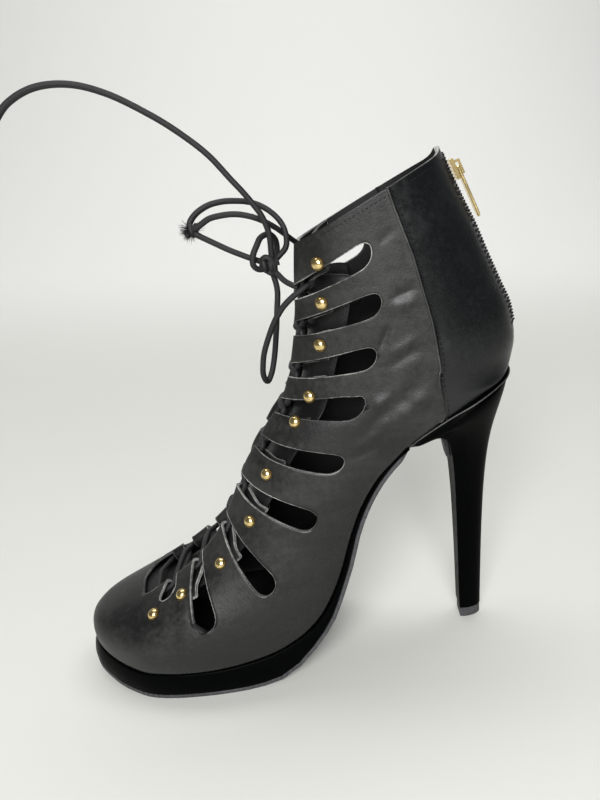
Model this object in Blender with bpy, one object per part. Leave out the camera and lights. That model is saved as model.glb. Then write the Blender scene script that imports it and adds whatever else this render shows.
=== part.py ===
"""A left lace up heel: a hollow leather upper with ten pairs of riveted lace tabs, a tongue, a back zip,
a covered platform and stiletto heel, and a round lace. Metres, +Z up. The heel tip's rest face is centred
on the origin, +X points to the toe and +Y to the wearer's left, which is this shoe's outer side."""
import math
from functools import lru_cache

import bmesh
import bpy
import numpy as np
from mathutils import Matrix, Vector
from mathutils.bvhtree import BVHTree

MM = 0.001

# Driving sizes of the shoe
REACH = 198 * MM            # from the back of the seat to the toe tip, along the floor
SEAT_OVERHANG = 18 * MM     # the back of the seat stands this far behind the heel tip's centre
SEAT_HEIGHT = 134.5 * MM    # lower edge of the upper at the back of the seat, above the floor
SHAFT_HEIGHT = 92 * MM      # from there up to the top of the back
PLATFORM = 12.5 * MM        # lower edge of the upper at the ball, above the floor
BALL_WIDTH = 78 * MM        # the sole at its widest
WALL = 1.4 * MM             # leather with its lining
GAP = 0.3 * MM              # between pieces that touch
SEAM = 0.3 * MM             # and this much more under the upper's edge
FEATHER_INSET = 1.0 * MM    # the upper stands this far inside the edge of the sole

# Sole, heel and insole
OUTSOLE = 1.8 * MM
INSOLE = 1.8 * MM
INSOLE_CLEAR = 1.3 * MM
RAND_ROUND = 0.6 * MM
TIP_DEPTH = 11.8 * MM
TIP_WIDTH = 11.4 * MM
TIP_BACK = 5.7 * MM
TOP_LIFT = 5.2 * MM
TOP_LIFT_INSET = 0.6 * MM
HEEL_WING = 31 * MM         # the heel's cover runs forward under the waist to here

# Tabs, rivets and tongue
TAB_LOOP = 3.3 * MM         # outer radius of the fold that the lace runs through
TAB_TAIL = 4 * MM           # the folded end runs this far past its rivet
SLIT_MOUTH = 6.4 * MM       # a slit's width between two tabs
SLIT_WIDTH = 10 * MM        # and near its round end
RIVET_RADIUS = 2.8 * MM
RIVET_HEIGHT = 1.9 * MM
TONGUE = 1.6 * MM
TONGUE_DEPTH = 7.5 * MM     # below the upper's face, clear of the tab loops
TONGUE_SIDE_DEPTH = 5.0 * MM

# Zip at the centre back
ZIP_SLOT = 5.6 * MM
ZIP_TAPE = 1.0 * MM
TEETH_WIDTH = 3.4 * MM
TEETH_HEIGHT = 1.1 * MM

# Slider and pull, with heights above the centre back line
SLIDER_AT = 26.0            # place along the fan
SLIDER_LENGTH = 8.6 * MM
SLIDER_WIDTH = 6.2 * MM
SLIDER_THICK = 1.6 * MM
BRIDGE_WIDTH = 1.8 * MM
BRIDGE_THICK = 1.0 * MM
BRIDGE_HALF = 2.6 * MM      # from its middle to the middle of each leg
PULL_LENGTH = 22 * MM
PULL_WIDTH = 5 * MM
PULL_THICK = 1.2 * MM
PULL_ARM = 1.0 * MM
PULL_NECK = 3 * MM          # from the end of its eye to its full width
PULL_CLEAR = 0.35 * MM

# Lace
LACE = 2.4 * MM             # diameter
CROSS_DEPTHS = (5.5 * MM, 2.5 * MM)     # of the two strands where they pass, below the upper's face
CROSS_AT = 5 * MM           # from the crest, where a strand dips to its depth at a slit
STRAND_TOP = 0.35           # the strands' ends lie this far below the collar, along the fan
STRAND_END = 4.75           # and the last turn over the toes lies here
FRONT_TURN = 4.55
CLOSE_TABS = (4, 5)         # the long tab at the ankle and the next, where the strand follows every line
LOOP_SLACK = 0.5 * MM       # the strand lies this far back from the middle of a tab's fold
CORD_STEP = 5.6 * MM        # between the points of a free cord
KNOT_SIZE = (4.2 * MM, 3.4 * MM, 3.2 * MM)      # half sizes: forwards, across, up

# Sections of the last, fanned from the toe to the collar. Each runs from the keel, which is the line under
# the foot and up its back, to the crest, which is the line over the toes and up the instep.
# along: share of REACH. height: 0 at the platform, 1 at the seat's back, 2 at the top of the back.
# sole and side: half widths as shares of half BALL_WIDTH, outer and inner. side_up: where the section is
# widest, from keel to crest. crest_off: the crest's offset. square: fullness of the top. stack: thickness of
# the sole under the section, as a share of PLATFORM.
SECTIONS = (
    # name, keel along, height, crest along, height, sole out, in, side out, in, up, crest_off, square, stack
    ("toe_tip", 1.000, 0.041, 1.008, 0.078, -.15, .15, -.15, .15, .40, -.15, 2.20, .88),
    ("toe_edge", .991, 0.037, 1.000, 0.102, .13, .38, .13, .38, .35, -.15, 2.20, .90),
    ("toe_cap", .970, 0.030, 0.977, 0.134, .37, .58, .38, .58, .30, -.15, 2.20, .94),
    ("toe_box", .929, 0.019, 0.937, 0.168, .60, .73, .62, .74, .27, -.14, 2.20, .98),
    ("vamp", .884, 0.009, 0.881, 0.209, .78, .85, .79, .86, .25, -.13, 2.20, 1.01),
    ("tab_10", .838, 0.004, 0.828, 0.258, .90, .92, .91, .94, .23, -.12, 2.20, 1.03),
    ("tab_9", .768, 0.001, 0.789, 0.302, .97, .97, .99, .98, .22, -.10, 2.25, 1.03),
    ("slit_8", .694, 0.004, 0.750, 0.352, .99, .96, 1.01, .98, .22, -.09, 2.30, 1.06),
    ("tab_8", .591, 0.027, 0.715, 0.414, .95, .90, .97, .93, .24, -.08, 2.30, 1.18),
    ("slit_7", .480, 0.117, 0.684, 0.484, .86, .71, .90, .79, .28, -.08, 2.35, .60),
    ("tab_7", .419, 0.283, 0.661, 0.557, .76, .58, .82, .73, .32, -.08, 2.40, .37),
    ("slit_6", .379, 0.480, 0.636, 0.634, .67, .50, .77, .71, .35, -.08, 2.40, .34),
    ("tab_6", .338, 0.611, 0.613, 0.709, .64, .50, .75, .70, .37, -.06, 2.40, .32),
    ("slit_5", .290, 0.713, 0.583, 0.784, .64, .54, .74, .71, .38, -.05, 2.40, .31),
    ("shank", .202, 0.828, 0.560, 0.847, .69, .65, .75, .73, .38, -.05, 2.45, .30),
    ("seat", .116, 0.906, 0.549, 0.871, .69, .69, .76, .74, .38, -.04, 2.50, .30),
    ("seat_bend", .061, 0.952, 0.544, 0.886, .60, .60, .76, .74, .38, -.04, 2.50, .30),
    ("seat_round", .025, 0.980, 0.540, 0.899, .45, .45, .76, .74, .38, -.04, 2.50, .30),
    ("seat_end", .007, 0.995, 0.537, 0.909, .23, .23, .76, .74, .38, -.04, 2.50, .30),
    ("seat_back", .000, 1.000, 0.534, 0.919, .00, .00, .76, .74, .38, -.04, 2.50, .30),
    ("tab_4", -.018, 1.136, 0.517, 0.985, .00, .00, .75, .74, .40, -.03, 2.50, .30),
    ("slit_3", -.007, 1.288, 0.503, 1.075, .00, .00, .74, .74, .42, -.03, 2.55, .30),
    ("tab_3", .020, 1.418, 0.493, 1.171, .00, .00, .73, .73, .43, -.01, 2.60, .30),
    ("slit_2", .051, 1.560, 0.487, 1.265, .00, .00, .72, .72, .44, .00, 2.60, .30),
    ("tab_2", .077, 1.685, 0.482, 1.355, .00, .00, .71, .71, .45, .00, 2.60, .30),
    ("slit_1", .106, 1.804, 0.479, 1.440, .00, .00, .71, .71, .46, .00, 2.60, .30),
    ("tab_1", .131, 1.913, 0.475, 1.530, .00, .00, .71, .71, .47, .00, 2.60, .30),
    ("collar", .149, 2.000, 0.471, 1.609, .00, .00, .71, .71, .48, .00, 2.60, .30),
)
ROW = {row[0]: i for i, row in enumerate(SECTIONS)}
COLLAR = ROW["collar"]
SEAT_BACK = ROW["seat_back"]
OUTER, INNER = 1, -1

# Tabs from the ankle to the toe. at: place along the fan. fold and rivet: distance from the crest in
# shares of TAB_REACH.
TAB_REACH = 30 * MM
TABS = (
    # at, fold, rivet
    (25.45, .46, .95),
    (23.65, .47, .97),
    (21.85, .44, .96),
    (19.60, .45, .94),
    (15.20, .38, .90),
    (12.10, .38, .95),
    (10.30, .52, 1.05),
    (8.45, .57, 1.03),
    (6.55, .58, 1.03),
    (5.10, .60, 1.06),
)
# Slits between the tabs: place along the fan at the mouth and at the round end, and the end's distance
# from the crest in shares of SLIT_REACH.
SLIT_REACH = 55 * MM
SLITS = (
    # mouth, end, reach
    (24.55, 24.95, .95),
    (22.75, 22.90, 1.00),
    (20.75, 20.90, .99),
    (18.30, 17.00, 1.00),
    (13.05, 12.90, 1.04),
    (11.15, 10.95, 1.06),
    (9.40, 9.10, 1.04),
    (7.40, 7.25, .96),
    (5.80, 5.70, .52),
)
THROAT_FRONT = 4.35         # place along the fan where the throat ends over the toes
# Share of the outer side's slit length on the inner side, by place
INNER_REACH = ((5.7, 1), (7.25, .8), (20.9, .72), (22.9, 1))
MOUTH_STEPS = (0, .30, .56, .76, .90, .97, 1)
LOWER_STEPS = (.3, .65, 1)
COUNTER_STEPS = (.14, .40, .64, .86, 1)
FOLD_ANGLES = (55, 115, 180)
# The quarter's edge over the counter: place along the fan, and share of the way from the crest round to
# the keel.
COUNTER_SEAM = ((14.3, .985), (15.2, .86), (17.0, .72), (19.5, .60), (21.5, .597), (24.5, .60), (27, .585))
COUNTER_STEP = 0.7 * MM

MATERIALS = {
    # name: colour, metallic, roughness
    "black_leather": ((0.022, 0.022, 0.024), 0.0, 0.42),
    "black_lining": ((0.018, 0.018, 0.019), 0.0, 0.75),
    "sole_rubber": ((0.045, 0.045, 0.048), 0.0, 0.65),
    "gold_metal": ((0.78, 0.60, 0.28), 1.0, 0.25),
    "zip_tape": ((0.015, 0.015, 0.016), 0.0, 0.7),
    "lace_cord": ((0.02, 0.02, 0.021), 0.0, 0.6),
}


def clear_scene():
    for obj in list(bpy.data.objects):
        bpy.data.objects.remove(obj, do_unlink=True)


def material(name):
    found = bpy.data.materials.get(name)
    if found:
        return found
    colour, metallic, roughness = MATERIALS[name]
    made = bpy.data.materials.new(name)
    made.use_nodes = True
    shader = made.node_tree.nodes["Principled BSDF"]
    shader.inputs["Base Color"].default_value = (*colour, 1)
    shader.inputs["Metallic"].default_value = metallic
    shader.inputs["Roughness"].default_value = roughness
    made.diffuse_color = (*colour, 1)
    return made


# The last: every piece of the upper, tongue, insole and sole is laid out on these functions.

def level(share):
    """Height above the floor of a height share."""
    if share <= 1:
        return PLATFORM + share * (SEAT_HEIGHT - PLATFORM)
    return SEAT_HEIGHT + (share - 1) * SHAFT_HEIGHT


def real_row(row):
    """A section's lengths in metres."""
    name, keel_a, keel_h, crest_a, crest_h, s_out, s_in, w_out, w_in, up, off, square, stack = row
    half = BALL_WIDTH / 2
    return (keel_a * REACH - SEAT_OVERHANG, level(keel_h), crest_a * REACH - SEAT_OVERHANG, level(crest_h),
            s_out * half, s_in * half, w_out * half, w_in * half, up, off * half, square, stack * PLATFORM)


REAL = np.array([real_row(row) for row in SECTIONS])


def row_slopes():
    """Slopes at the rows that keep the curve between two rows from running back on itself."""
    change = np.diff(REAL, axis=0)
    slopes = np.zeros_like(REAL)
    slopes[0], slopes[-1] = change[0], change[-1]
    before, after = change[:-1], change[1:]
    same = before * after > 0
    total = np.where(same, before + after, 1.0)
    slopes[1:-1] = np.where(same, 2 * before * after / total, 0.0)
    return slopes


SLOPES = row_slopes()


@lru_cache(maxsize=None)
def section_at(u):
    """The section's lengths at a place u along the fan, on a smooth curve through the rows."""
    u = min(max(u, 0.0), len(REAL) - 1.0)
    i = min(int(u), len(REAL) - 2)
    t = u - i
    near, far = REAL[i], REAL[i + 1]
    bend = (2 * t ** 3 - 3 * t ** 2 + 1) * near + (3 * t ** 2 - 2 * t ** 3) * far
    return bend + (t ** 3 - 2 * t ** 2 + t) * SLOPES[i] + (t ** 3 - t ** 2) * SLOPES[i + 1]


@lru_cache(maxsize=None)
def section_curve(u, side):
    """Points of half a section, from the crest round to the keel, and their distance along it."""
    kx, kz, cx, cz, s_out, s_in, w_out, w_in, up, off, square, _ = section_at(u)
    crest = off * side
    sole = s_out if side == OUTER else s_in
    if u >= SEAT_BACK:
        sole = 0.0
    inset = FEATHER_INSET * min(1.0, max(0.0, (s_out + s_in) / BALL_WIDTH))
    sole -= inset
    sole = max(sole, 0.0) if u > 1 else sole
    widest = max(w_out if side == OUTER else w_in, sole)
    angle = np.linspace(0, math.pi / 2, 40)
    top_y = crest + (widest - crest) * np.cos(angle) ** (2 / square)
    top_v = up + (1 - up) * np.sin(angle) ** (2 / square)
    low_y = sole + (widest - sole) * np.cos(angle)
    low_v = up * (1 - np.sin(angle))
    y = np.concatenate([top_y[::-1], low_y[1:]])
    v = np.concatenate([top_v[::-1], low_v[1:]])
    points = np.stack([kx + (cx - kx) * v, y * side, kz + (cz - kz) * v], 1)
    run = np.concatenate([[0], np.cumsum(np.linalg.norm(np.diff(points, axis=0), axis=1))])
    return points, run


def girth(u, side):
    """Distance round half a section, crest to keel."""
    return section_curve(round(u, 4), side)[1][-1]


def skin(u, side, distance):
    """The point of the last at a distance round the section from its crest."""
    points, run = section_curve(round(u, 4), side)
    return np.array([np.interp(distance, run, points[:, k]) for k in range(3)])


def outward(u, side, distance):
    """The last's normal there."""
    du, dd = .12, 1.2 * MM
    total = girth(u, side)
    near = min(max(distance, dd), total - dd)
    along = skin(min(u + du, COLLAR), side, near) - skin(max(u - du, 0), side, near)
    around = skin(u, side, near + dd) - skin(u, side, near - dd)
    normal = np.cross(around, along) * side
    return normal / np.linalg.norm(normal)


def inside(u, side, distance, depth):
    """A point that lies depth below the upper's face."""
    return skin(u, side, distance) - outward(u, side, distance) * depth


def walk(u, side, distance, offset):
    """The place along the fan that lies offset further on, at one distance from the crest."""
    steps = 6
    for _ in range(steps):
        span = skin(min(u + .05, COLLAR), side, distance) - skin(u - .05, side, distance)
        u += offset / steps / np.linalg.norm(span) * .1
    return u


# The sole's own flat frame: path is the distance along the keel from the toe tip, y runs across.

KEEL_STEPS = 24
KEEL_U = np.linspace(0, SEAT_BACK, SEAT_BACK * KEEL_STEPS + 1)
KEEL_XZ = np.array([section_at(float(u))[:2] for u in KEEL_U])
KEEL_RUN = np.concatenate([[0], np.cumsum(np.linalg.norm(np.diff(KEEL_XZ, axis=0), axis=1))])


def sole_edge(u, side, inset):
    """Path and y of the sole's edge beside a section, moved inwards by an inset."""
    def edge(place):
        row = section_at(float(min(max(place, 0), SEAT_BACK)))
        y = row[4] if side == OUTER else row[5]
        return np.array([np.interp(place, KEEL_U, KEEL_RUN), y])
    step = .05
    tangent = edge(min(u + step, SEAT_BACK)) - edge(max(u - step, 0))
    tangent /= np.linalg.norm(tangent)
    path, y = edge(u) + np.array([tangent[1], -tangent[0]]) * inset
    return path, y * side


def sole_point(path, y, depth):
    """A point below the keel by depth, square to it."""
    x = np.interp(path, KEEL_RUN, KEEL_XZ[:, 0])
    z = np.interp(path, KEEL_RUN, KEEL_XZ[:, 1])
    reach = 2 * MM
    ahead = [np.interp(path - reach, KEEL_RUN, KEEL_XZ[:, k]) for k in (0, 1)]
    behind = [np.interp(path + reach, KEEL_RUN, KEEL_XZ[:, k]) for k in (0, 1)]
    tangent = np.array(ahead) - np.array(behind)
    tangent /= np.linalg.norm(tangent)
    return np.array([x + tangent[1] * depth, y, z - tangent[0] * depth])


def stack_at(u):
    return section_at(float(u))[11]


# Mesh making

def mesh_object(name, build, slot, smooth=40, closed=True):
    """An object from a function that fills a bmesh with a closed body or, for a wall, its outer face."""
    mesh = bpy.data.meshes.new(name)
    bm = bmesh.new()
    build(bm)
    bmesh.ops.remove_doubles(bm, verts=bm.verts, dist=.00002)
    bmesh.ops.dissolve_degenerate(bm, edges=bm.edges, dist=.00001)
    bmesh.ops.recalc_face_normals(bm, faces=bm.faces)
    if closed and bm.calc_volume(signed=True) < 0:
        bmesh.ops.reverse_faces(bm, faces=bm.faces)
    bm.to_mesh(mesh)
    bm.free()
    mesh.materials.append(material(slot))
    obj = bpy.data.objects.new(name, mesh)
    bpy.context.collection.objects.link(obj)
    mesh.shade_smooth()
    mesh.set_sharp_from_angle(angle=math.radians(smooth))
    return obj


def loft(bm, rings, closed=True, capped=True):
    """Bridges rings of equal length and closes both ends."""
    rows = [[bm.verts.new(p) for p in ring] for ring in rings]
    count = len(rows[0])
    for a, b in zip(rows, rows[1:]):
        for i in range(count if closed else count - 1):
            j = (i + 1) % count
            bm.faces.new((a[i], a[j], b[j], b[i]))
    if capped:
        bm.faces.new(rows[0][::-1])
        bm.faces.new(rows[-1])
    return rows


def steps(low, high, count):
    return [low + (high - low) * i / (count - 1) for i in range(count)]


# Upper

def side_distances(u, side, fold):
    """Distances from the crest of one line's points: slit zone, lower quarter, then counter."""
    total = girth(u, side)
    fold = min(fold, .33 * total)
    reach = np.interp(u, [s[1] for s in SLITS[::-1]], [s[2] for s in SLITS[::-1]]) * SLIT_REACH
    if side == INNER:
        reach *= np.interp(u, *zip(*INNER_REACH))
    reach = min(reach, .82 * total)
    if u < THROAT_FRONT:
        reach = .58 * total
    seam = np.interp(u, *zip(*COUNTER_SEAM)) * total if u >= COUNTER_SEAM[0][0] else .955 * total
    seam = min(max(seam, reach + .05 * total), .975 * total)
    low = total - zip_gap(u)
    out = [fold + (reach - fold) * s for s in MOUTH_STEPS]
    out += [reach + (seam - reach) * s for s in LOWER_STEPS]
    out += [seam + (low - seam) * s for s in COUNTER_STEPS]
    return out


def zip_gap(u):
    """Half the slot for the zip, which ends a little above the seat."""
    return float(np.interp(u, (ZIP_END, ZIP_END + .12, COLLAR), (0, ZIP_SLOT / 2, ZIP_SLOT / 2)))


ZIP_END = 20.3


def fan_lines():
    """The lines that the upper's grid runs along, from toe to collar: a place at the throat, at the slit
    ends and at the sole, with the side of the slit that the line borders."""
    lines = [dict(mouth=u, end=u, sole=u, edge=0, slit=None) for u in (0, .35, .7, 1, 1.5, 2, 2.7, 3.5)]
    lines.append(dict(mouth=THROAT_FRONT, end=4.4, sole=4.4, edge=0, slit=None))
    bounds = [(4.7, 4.6)] + [(s[0], s[1]) for s in SLITS[::-1]] + [(COLLAR, COLLAR)]
    for i in range(len(bounds) - 1):
        (mouth_a, end_a), (mouth_b, end_b) = bounds[i], bounds[i + 1]
        slit = len(SLITS) - 1 - i
        count = {3: 5, 2: 3, 6: 2}.get(slit, 1)
        mouths = spread(mouth_a, mouth_b, count, SLIT_REACH / 3, SLIT_MOUTH / 2)
        ends = spread(end_a, end_b, count, SLIT_REACH, SLIT_WIDTH / 2)
        for mouth, end in zip(mouths, ends):
            lines.append(dict(mouth=mouth, end=end, sole=end, edge=0, slit=None))
        if slit < 0:
            continue
        for edge in (-1, 1):
            gap_u = (end_b - end_a if edge < 0 else bounds[i + 2][1] - end_b) * .13
            lines.append(dict(mouth=mouth_b, end=end_b, sole=end_b + edge * gap_u, edge=edge, slit=slit))
    lines.append(dict(mouth=COLLAR, end=COLLAR, sole=COLLAR, edge=0, slit=None))
    return lines


def spread(low, high, count, distance, clear):
    """Places along the fan between two slits, evenly apart on the face and clear of both."""
    places = np.linspace(low, high, 33)
    points = np.array([skin(float(u), OUTER, distance) for u in places])
    run = np.concatenate([[0], np.cumsum(np.linalg.norm(np.diff(points, axis=0), axis=1))])
    first = clear if low > THROAT_FRONT + .5 else 0.0
    last = clear if high < COLLAR else 0.0
    marks = [first + (run[-1] - first - last) * (k + 1) / (count + 1) for k in range(count)]
    return [float(np.interp(mark, run, places)) for mark in marks]


def tab_value(u, column):
    """A tab value read between the tabs."""
    table = sorted((tab[0], tab[column]) for tab in TABS)
    return float(np.interp(u, [t[0] for t in table], [t[1] for t in table])) * TAB_REACH


def line_points(line, side):
    """One grid line of the upper: places, distances and depths from the throat round to the keel."""
    fold = tab_value(line["mouth"], 1)
    distances = side_distances(line["end"], side, fold)
    last = len(MOUTH_STEPS) - 1
    out = []
    for k, distance in enumerate(distances):
        share = MOUTH_STEPS[k] if k <= last else 1
        u = line["mouth"] + (line["end"] - line["mouth"]) * share
        if k > last:
            down = (distance - distances[last]) / (distances[-1] - distances[last])
            u = line["end"] + (line["sole"] - line["end"]) * min(1, down * 1.6)
            distance += (girth(u, side) - girth(line["end"], side)) * down
        if line["edge"] and k <= last:
            reach = distances[last]
            round_part = max(0.0, (distance - (reach - SLIT_WIDTH / 2)) / (SLIT_WIDTH / 2))
            grow = min(1, share / .8)
            width = SLIT_MOUTH + (SLIT_WIDTH - SLIT_MOUTH) * grow
            width *= math.sqrt(max(0.0, 1 - min(1, round_part) ** 2))
            u = walk(u, side, distance, line["edge"] * width / 2)
        out.append((u, distance))
    seam = last + len(LOWER_STEPS)
    return out, seam


def face_point(u, side, distance, depth=0.0):
    point = skin(u, side, distance)
    return point - outward(u, side, distance) * depth if depth else point


def upper_face(bm):
    """The upper's outer face, open at the collar, throat, slits, zip and sole, with its folded tabs."""
    lines = fan_lines()
    front = next(i for i, line in enumerate(lines) if line["mouth"] >= THROAT_FRONT)
    grids = {}
    for side in (OUTER, INNER):
        rows = []
        for line in lines:
            points, seam = line_points(line, side)
            row = []
            for k, (u, distance) in enumerate(points):
                sunk = line["sole"] >= COUNTER_SEAM[0][0] and k > seam
                row.append(bm.verts.new(face_point(u, side, distance, COUNTER_STEP if sunk else 0)))
            rows.append(row)
        grids[side] = rows
        for i in range(len(lines) - 1):
            open_slit = lines[i]["edge"] == -1 and lines[i + 1]["edge"] == 1
            for k in range(len(rows[i]) - 1):
                if open_slit and k < len(MOUTH_STEPS) - 1:
                    continue
                quad(bm, rows[i][k], rows[i + 1][k], rows[i + 1][k + 1], rows[i][k + 1], side)
        tab_folds(bm, lines, rows, side, front)
    vamp_top(bm, lines, grids, front)


def quad(bm, a, b, c, d, side):
    corners = (a, b, c, d) if side == OUTER else (d, c, b, a)
    bm.faces.new(corners)


def tab_folds(bm, lines, rows, side, front):
    """Each tab's end, folded round to the inside and back under its rivet."""
    thick = WALL + GAP
    previous = None
    for i in range(front + 1, len(lines)):
        line = lines[i]
        tab = min(TABS, key=lambda t: abs(t[0] - line["mouth"]))
        fold, rivet = tab_value(line["mouth"], 1), tab[2] * TAB_REACH
        u = line_points(line, side)[0][0][0]
        profile = [(fold, 0)]
        for angle in FOLD_ANGLES:
            turn = math.radians(angle)
            profile.append((fold - TAB_LOOP * math.sin(turn), TAB_LOOP * (1 - math.cos(turn))))
        profile.append((rivet - 5 * MM, (thick + WALL + 2 * TAB_LOOP) / 2))
        profile.append((rivet - 1 * MM, thick + WALL))
        profile.append((rivet + TAB_TAIL, thick + WALL))
        column = [rows[i][0]]
        normal = outward(u, side, fold)
        across = skin(u, side, fold + 2 * MM) - skin(u, side, fold)
        across /= np.linalg.norm(across)
        for distance, depth in profile[1:]:
            if distance <= fold:
                point = skin(u, side, fold) + across * (distance - fold) - normal * depth
            else:
                point = face_point(u, side, distance, depth)
            column.append(bm.verts.new(point))
        joined = previous is not None and not (lines[i - 1]["edge"] == -1 and line["edge"] == 1)
        if joined:
            for k in range(len(column) - 1):
                quad(bm, previous[k + 1], column[k + 1], column[k], previous[k], side)
        previous = column


def vamp_top(bm, lines, grids, front):
    """The closed strip over the toes, between the two sides' grids."""
    shares = (.66, .33)
    columns = []
    for i in range(front + 1):
        line = lines[i]
        first = {side: line_points(line, side)[0][0] for side in (OUTER, INNER)}
        row = [grids[OUTER][i][0]]
        dip = .35 if i == front else 0.0
        row += [bm.verts.new(face_point(line["mouth"] - dip * (1 - s), OUTER, first[OUTER][1] * s)) for s in shares]
        row.append(bm.verts.new(face_point(line["mouth"] - dip, OUTER, 0)))
        row += [bm.verts.new(face_point(line["mouth"] - dip * (1 - s), INNER, first[INNER][1] * s))
                for s in shares[::-1]]
        row.append(grids[INNER][i][0])
        columns.append(row)
    for a, b in zip(columns, columns[1:]):
        for k in range(len(a) - 1):
            quad(bm, b[k], b[k + 1], a[k + 1], a[k], INNER)


def make_upper():
    upper = mesh_object("upper", upper_face, "black_leather", closed=False)
    wall = upper.modifiers.new("wall", "SOLIDIFY")
    wall.thickness = WALL
    wall.offset = -1
    wall.use_even_offset = False
    wall.use_rim = True
    return upper


# Sole, insole and heel

def sole_layer(name, slot, inset, top, bottom, places, bevel=0.0, floor=-1.0, tail=()):
    """A layer of the sole: top and bottom give its depths under the keel at a place along the fan. No part
    of it reaches below floor, and tail holds the rings of a stretch that leaves the keel."""
    def build(bm):
        rings = []
        for u in places:
            high, low = top(u), bottom(u)
            ring = []
            for side in (OUTER, INNER):
                edge = [(inset, high), (inset, low)]
                if bevel:
                    edge = [(inset + bevel, high), (inset, high + bevel), (inset, low - bevel), (inset + bevel, low)]
                for move, depth in edge if side == OUTER else edge[::-1]:
                    path, y = sole_edge(u, side, move)
                    point = sole_point(path, y, depth)
                    point[2] = max(point[2], floor + (low - depth))
                    ring.append(point)
            rings.append(ring)
        loft(bm, rings + list(tail))
    return mesh_object(name, build, slot, 50)


def wing_place(clear):
    """The place along the fan that lies clear in front of the heel's cover."""
    return float(np.interp(-HEEL_WING - clear, -KEEL_XZ[:, 0], KEEL_U))


SOLE_PLACES = [.12, .4, .7, 1, 1.5, 2, 2.5, 3, 4, 5, 6, 7, 7.5, 8, 8.5, 9, 9.5, 10, 10.5, 11, 12, 12.6, 13.15]
FLAP_WIDTHS = (.80, .74, .68, .62, .57, .48, .34)   # shares of the heel's half width at each ring


def flap_rings():
    """The outsole's end, which lies on the heel's underside and down its breast in a rounded flap."""
    rings = heel_rings()[1:len(FLAP_WIDTHS) + 3]
    fronts = [np.array([ring[0][0], ring[0][2]]) for ring in rings]
    out = []
    for n, share in enumerate(FLAP_WIDTHS):
        run = fronts[n + 1] - fronts[max(n - 1, 0)]
        run /= np.linalg.norm(run)
        face = np.array([-run[1], run[0]])
        half = rings[n][1][1] * share
        ring = []
        for side, depths in ((OUTER, (GAP, GAP + OUTSOLE)), (INNER, (GAP + OUTSOLE, GAP))):
            for depth in depths:
                x, z = fronts[n] + face * depth
                ring.append((x, half * side, z))
        out.append(ring)
    return out


def make_outsole():
    return sole_layer("outsole", "sole_rubber", .6 * MM, lambda u: stack_at(u) - OUTSOLE, stack_at, SOLE_PLACES,
                      floor=0.0, tail=flap_rings())


def make_platform():
    places = SOLE_PLACES + [wing_place(1.3 * MM)]
    return sole_layer("platform", "black_leather", 0.0, lambda u: GAP + SEAM, lambda u: stack_at(u) - OUTSOLE - GAP,
                      places, RAND_ROUND, floor=OUTSOLE + GAP)


def make_insole():
    inset = FEATHER_INSET + WALL + INSOLE_CLEAR
    places = [.6, 1, 1.5, 2, 2.5, 3, 4, 5, 6, 7, 8, 9, 9.5, 10, 11, 12, 13, 14, 15, 16, 17, 17.6, 18.2]
    return sole_layer("insole", "black_lining", inset, lambda u: -GAP - INSOLE, lambda u: -GAP, places)


# The heel's rings from the seat to the tip. fore, back and width: 0 at the tip's size, 1 at the seat's.
# front and rear: height shares of the seat's front and back edges above the floor.
HEEL_RINGS = (
    # fore, back, width, front, rear, round
    (.955, .976, .986, .9872, .982, 2.3),
    (.839, .935, .948, .981, .961, 2.3),
    (.639, .878, .887, .998, .937, 2.3),
    (.454, .805, .793, 1.004, .911, 2.3),
    (.301, .724, .662, .981, .882, 2.3),
    (.209, .610, .512, .934, .844, 2.3),
    (.145, .398, .343, .852, .775, 2.3),
    (.100, .236, .230, .748, .686, 2.3),
    (.068, .114, .141, .616, .559, 2.3),
    (.044, .049, .080, .455, .395, 2.4),
    (.020, .016, .038, .265, .220, 2.4),
    (.004, .000, .009, .095, .0745, 2.4),
)
RING_SHARES = (0, .12, .28, .46, .64, .80, .92, .98, 1)


def heel_rings():
    """Rings from just under the seat down to the top lift, each from the front's outer corner round the
    back to the front's inner corner."""
    seat_front = wing_place(0)
    width = max(section_at(15.0)[4], section_at(15.0)[5])
    rings = []
    top = []
    for side in (OUTER, INNER):
        run = []
        for share in RING_SHARES:
            u = seat_front + (SEAT_BACK - .02 - seat_front) * (1 - (1 - share) ** 1.5)
            path, y = sole_edge(u, side, .4 * MM)
            run.append(sole_point(path, y, GAP + SEAM))
        top += run if side == OUTER else run[::-1][1:]
    rings.append(top)
    front_high, rear_high = top[0][2], top[len(RING_SHARES) - 1][2]
    back_seat = -top[len(RING_SHARES) - 1][0]
    tip_front = TIP_DEPTH - TIP_BACK
    for fore, back, wide, front, rear, round_to in HEEL_RINGS:
        front_x = tip_front + (HEEL_WING - tip_front) * fore
        back_x = -(TIP_BACK + (back_seat - TIP_BACK) * back)
        half = TIP_WIDTH / 2 + (width - TIP_WIDTH / 2) * wide
        rings.append(d_ring(front_x, back_x, half, front * front_high, rear * rear_high, round_to))
    rings.append(d_ring(tip_front, -TIP_BACK, TIP_WIDTH / 2, TOP_LIFT + GAP, TOP_LIFT + GAP, 2.4))
    return rings


def d_ring(front_x, back_x, half, front_z, back_z, round_to):
    """A ring with a flat front and a round back."""
    ring = []
    for side in (OUTER, INNER):
        run = []
        for share in RING_SHARES:
            y = half * (1 - share ** round_to) ** (1 / round_to)
            y *= .9 + .1 * min(1, share / .28)
            run.append((front_x + (back_x - front_x) * share, y * side, front_z + (back_z - front_z) * share))
        ring += run if side == OUTER else run[::-1][1:]
    return ring


def make_heel():
    def build(bm):
        rows = loft(bm, heel_rings(), capped=False)
        half = len(RING_SHARES) - 1
        for row, turn in ((rows[0], 1), (rows[-1], -1)):
            for k in range(half):
                corners = [row[k], row[k + 1]]
                corners += [row[-(k + 1)]] if k == half - 1 else [row[-(k + 2)], row[-(k + 1)]]
                bm.faces.new(corners[::turn])
    return mesh_object("heel", build, "black_leather", 50)


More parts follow.
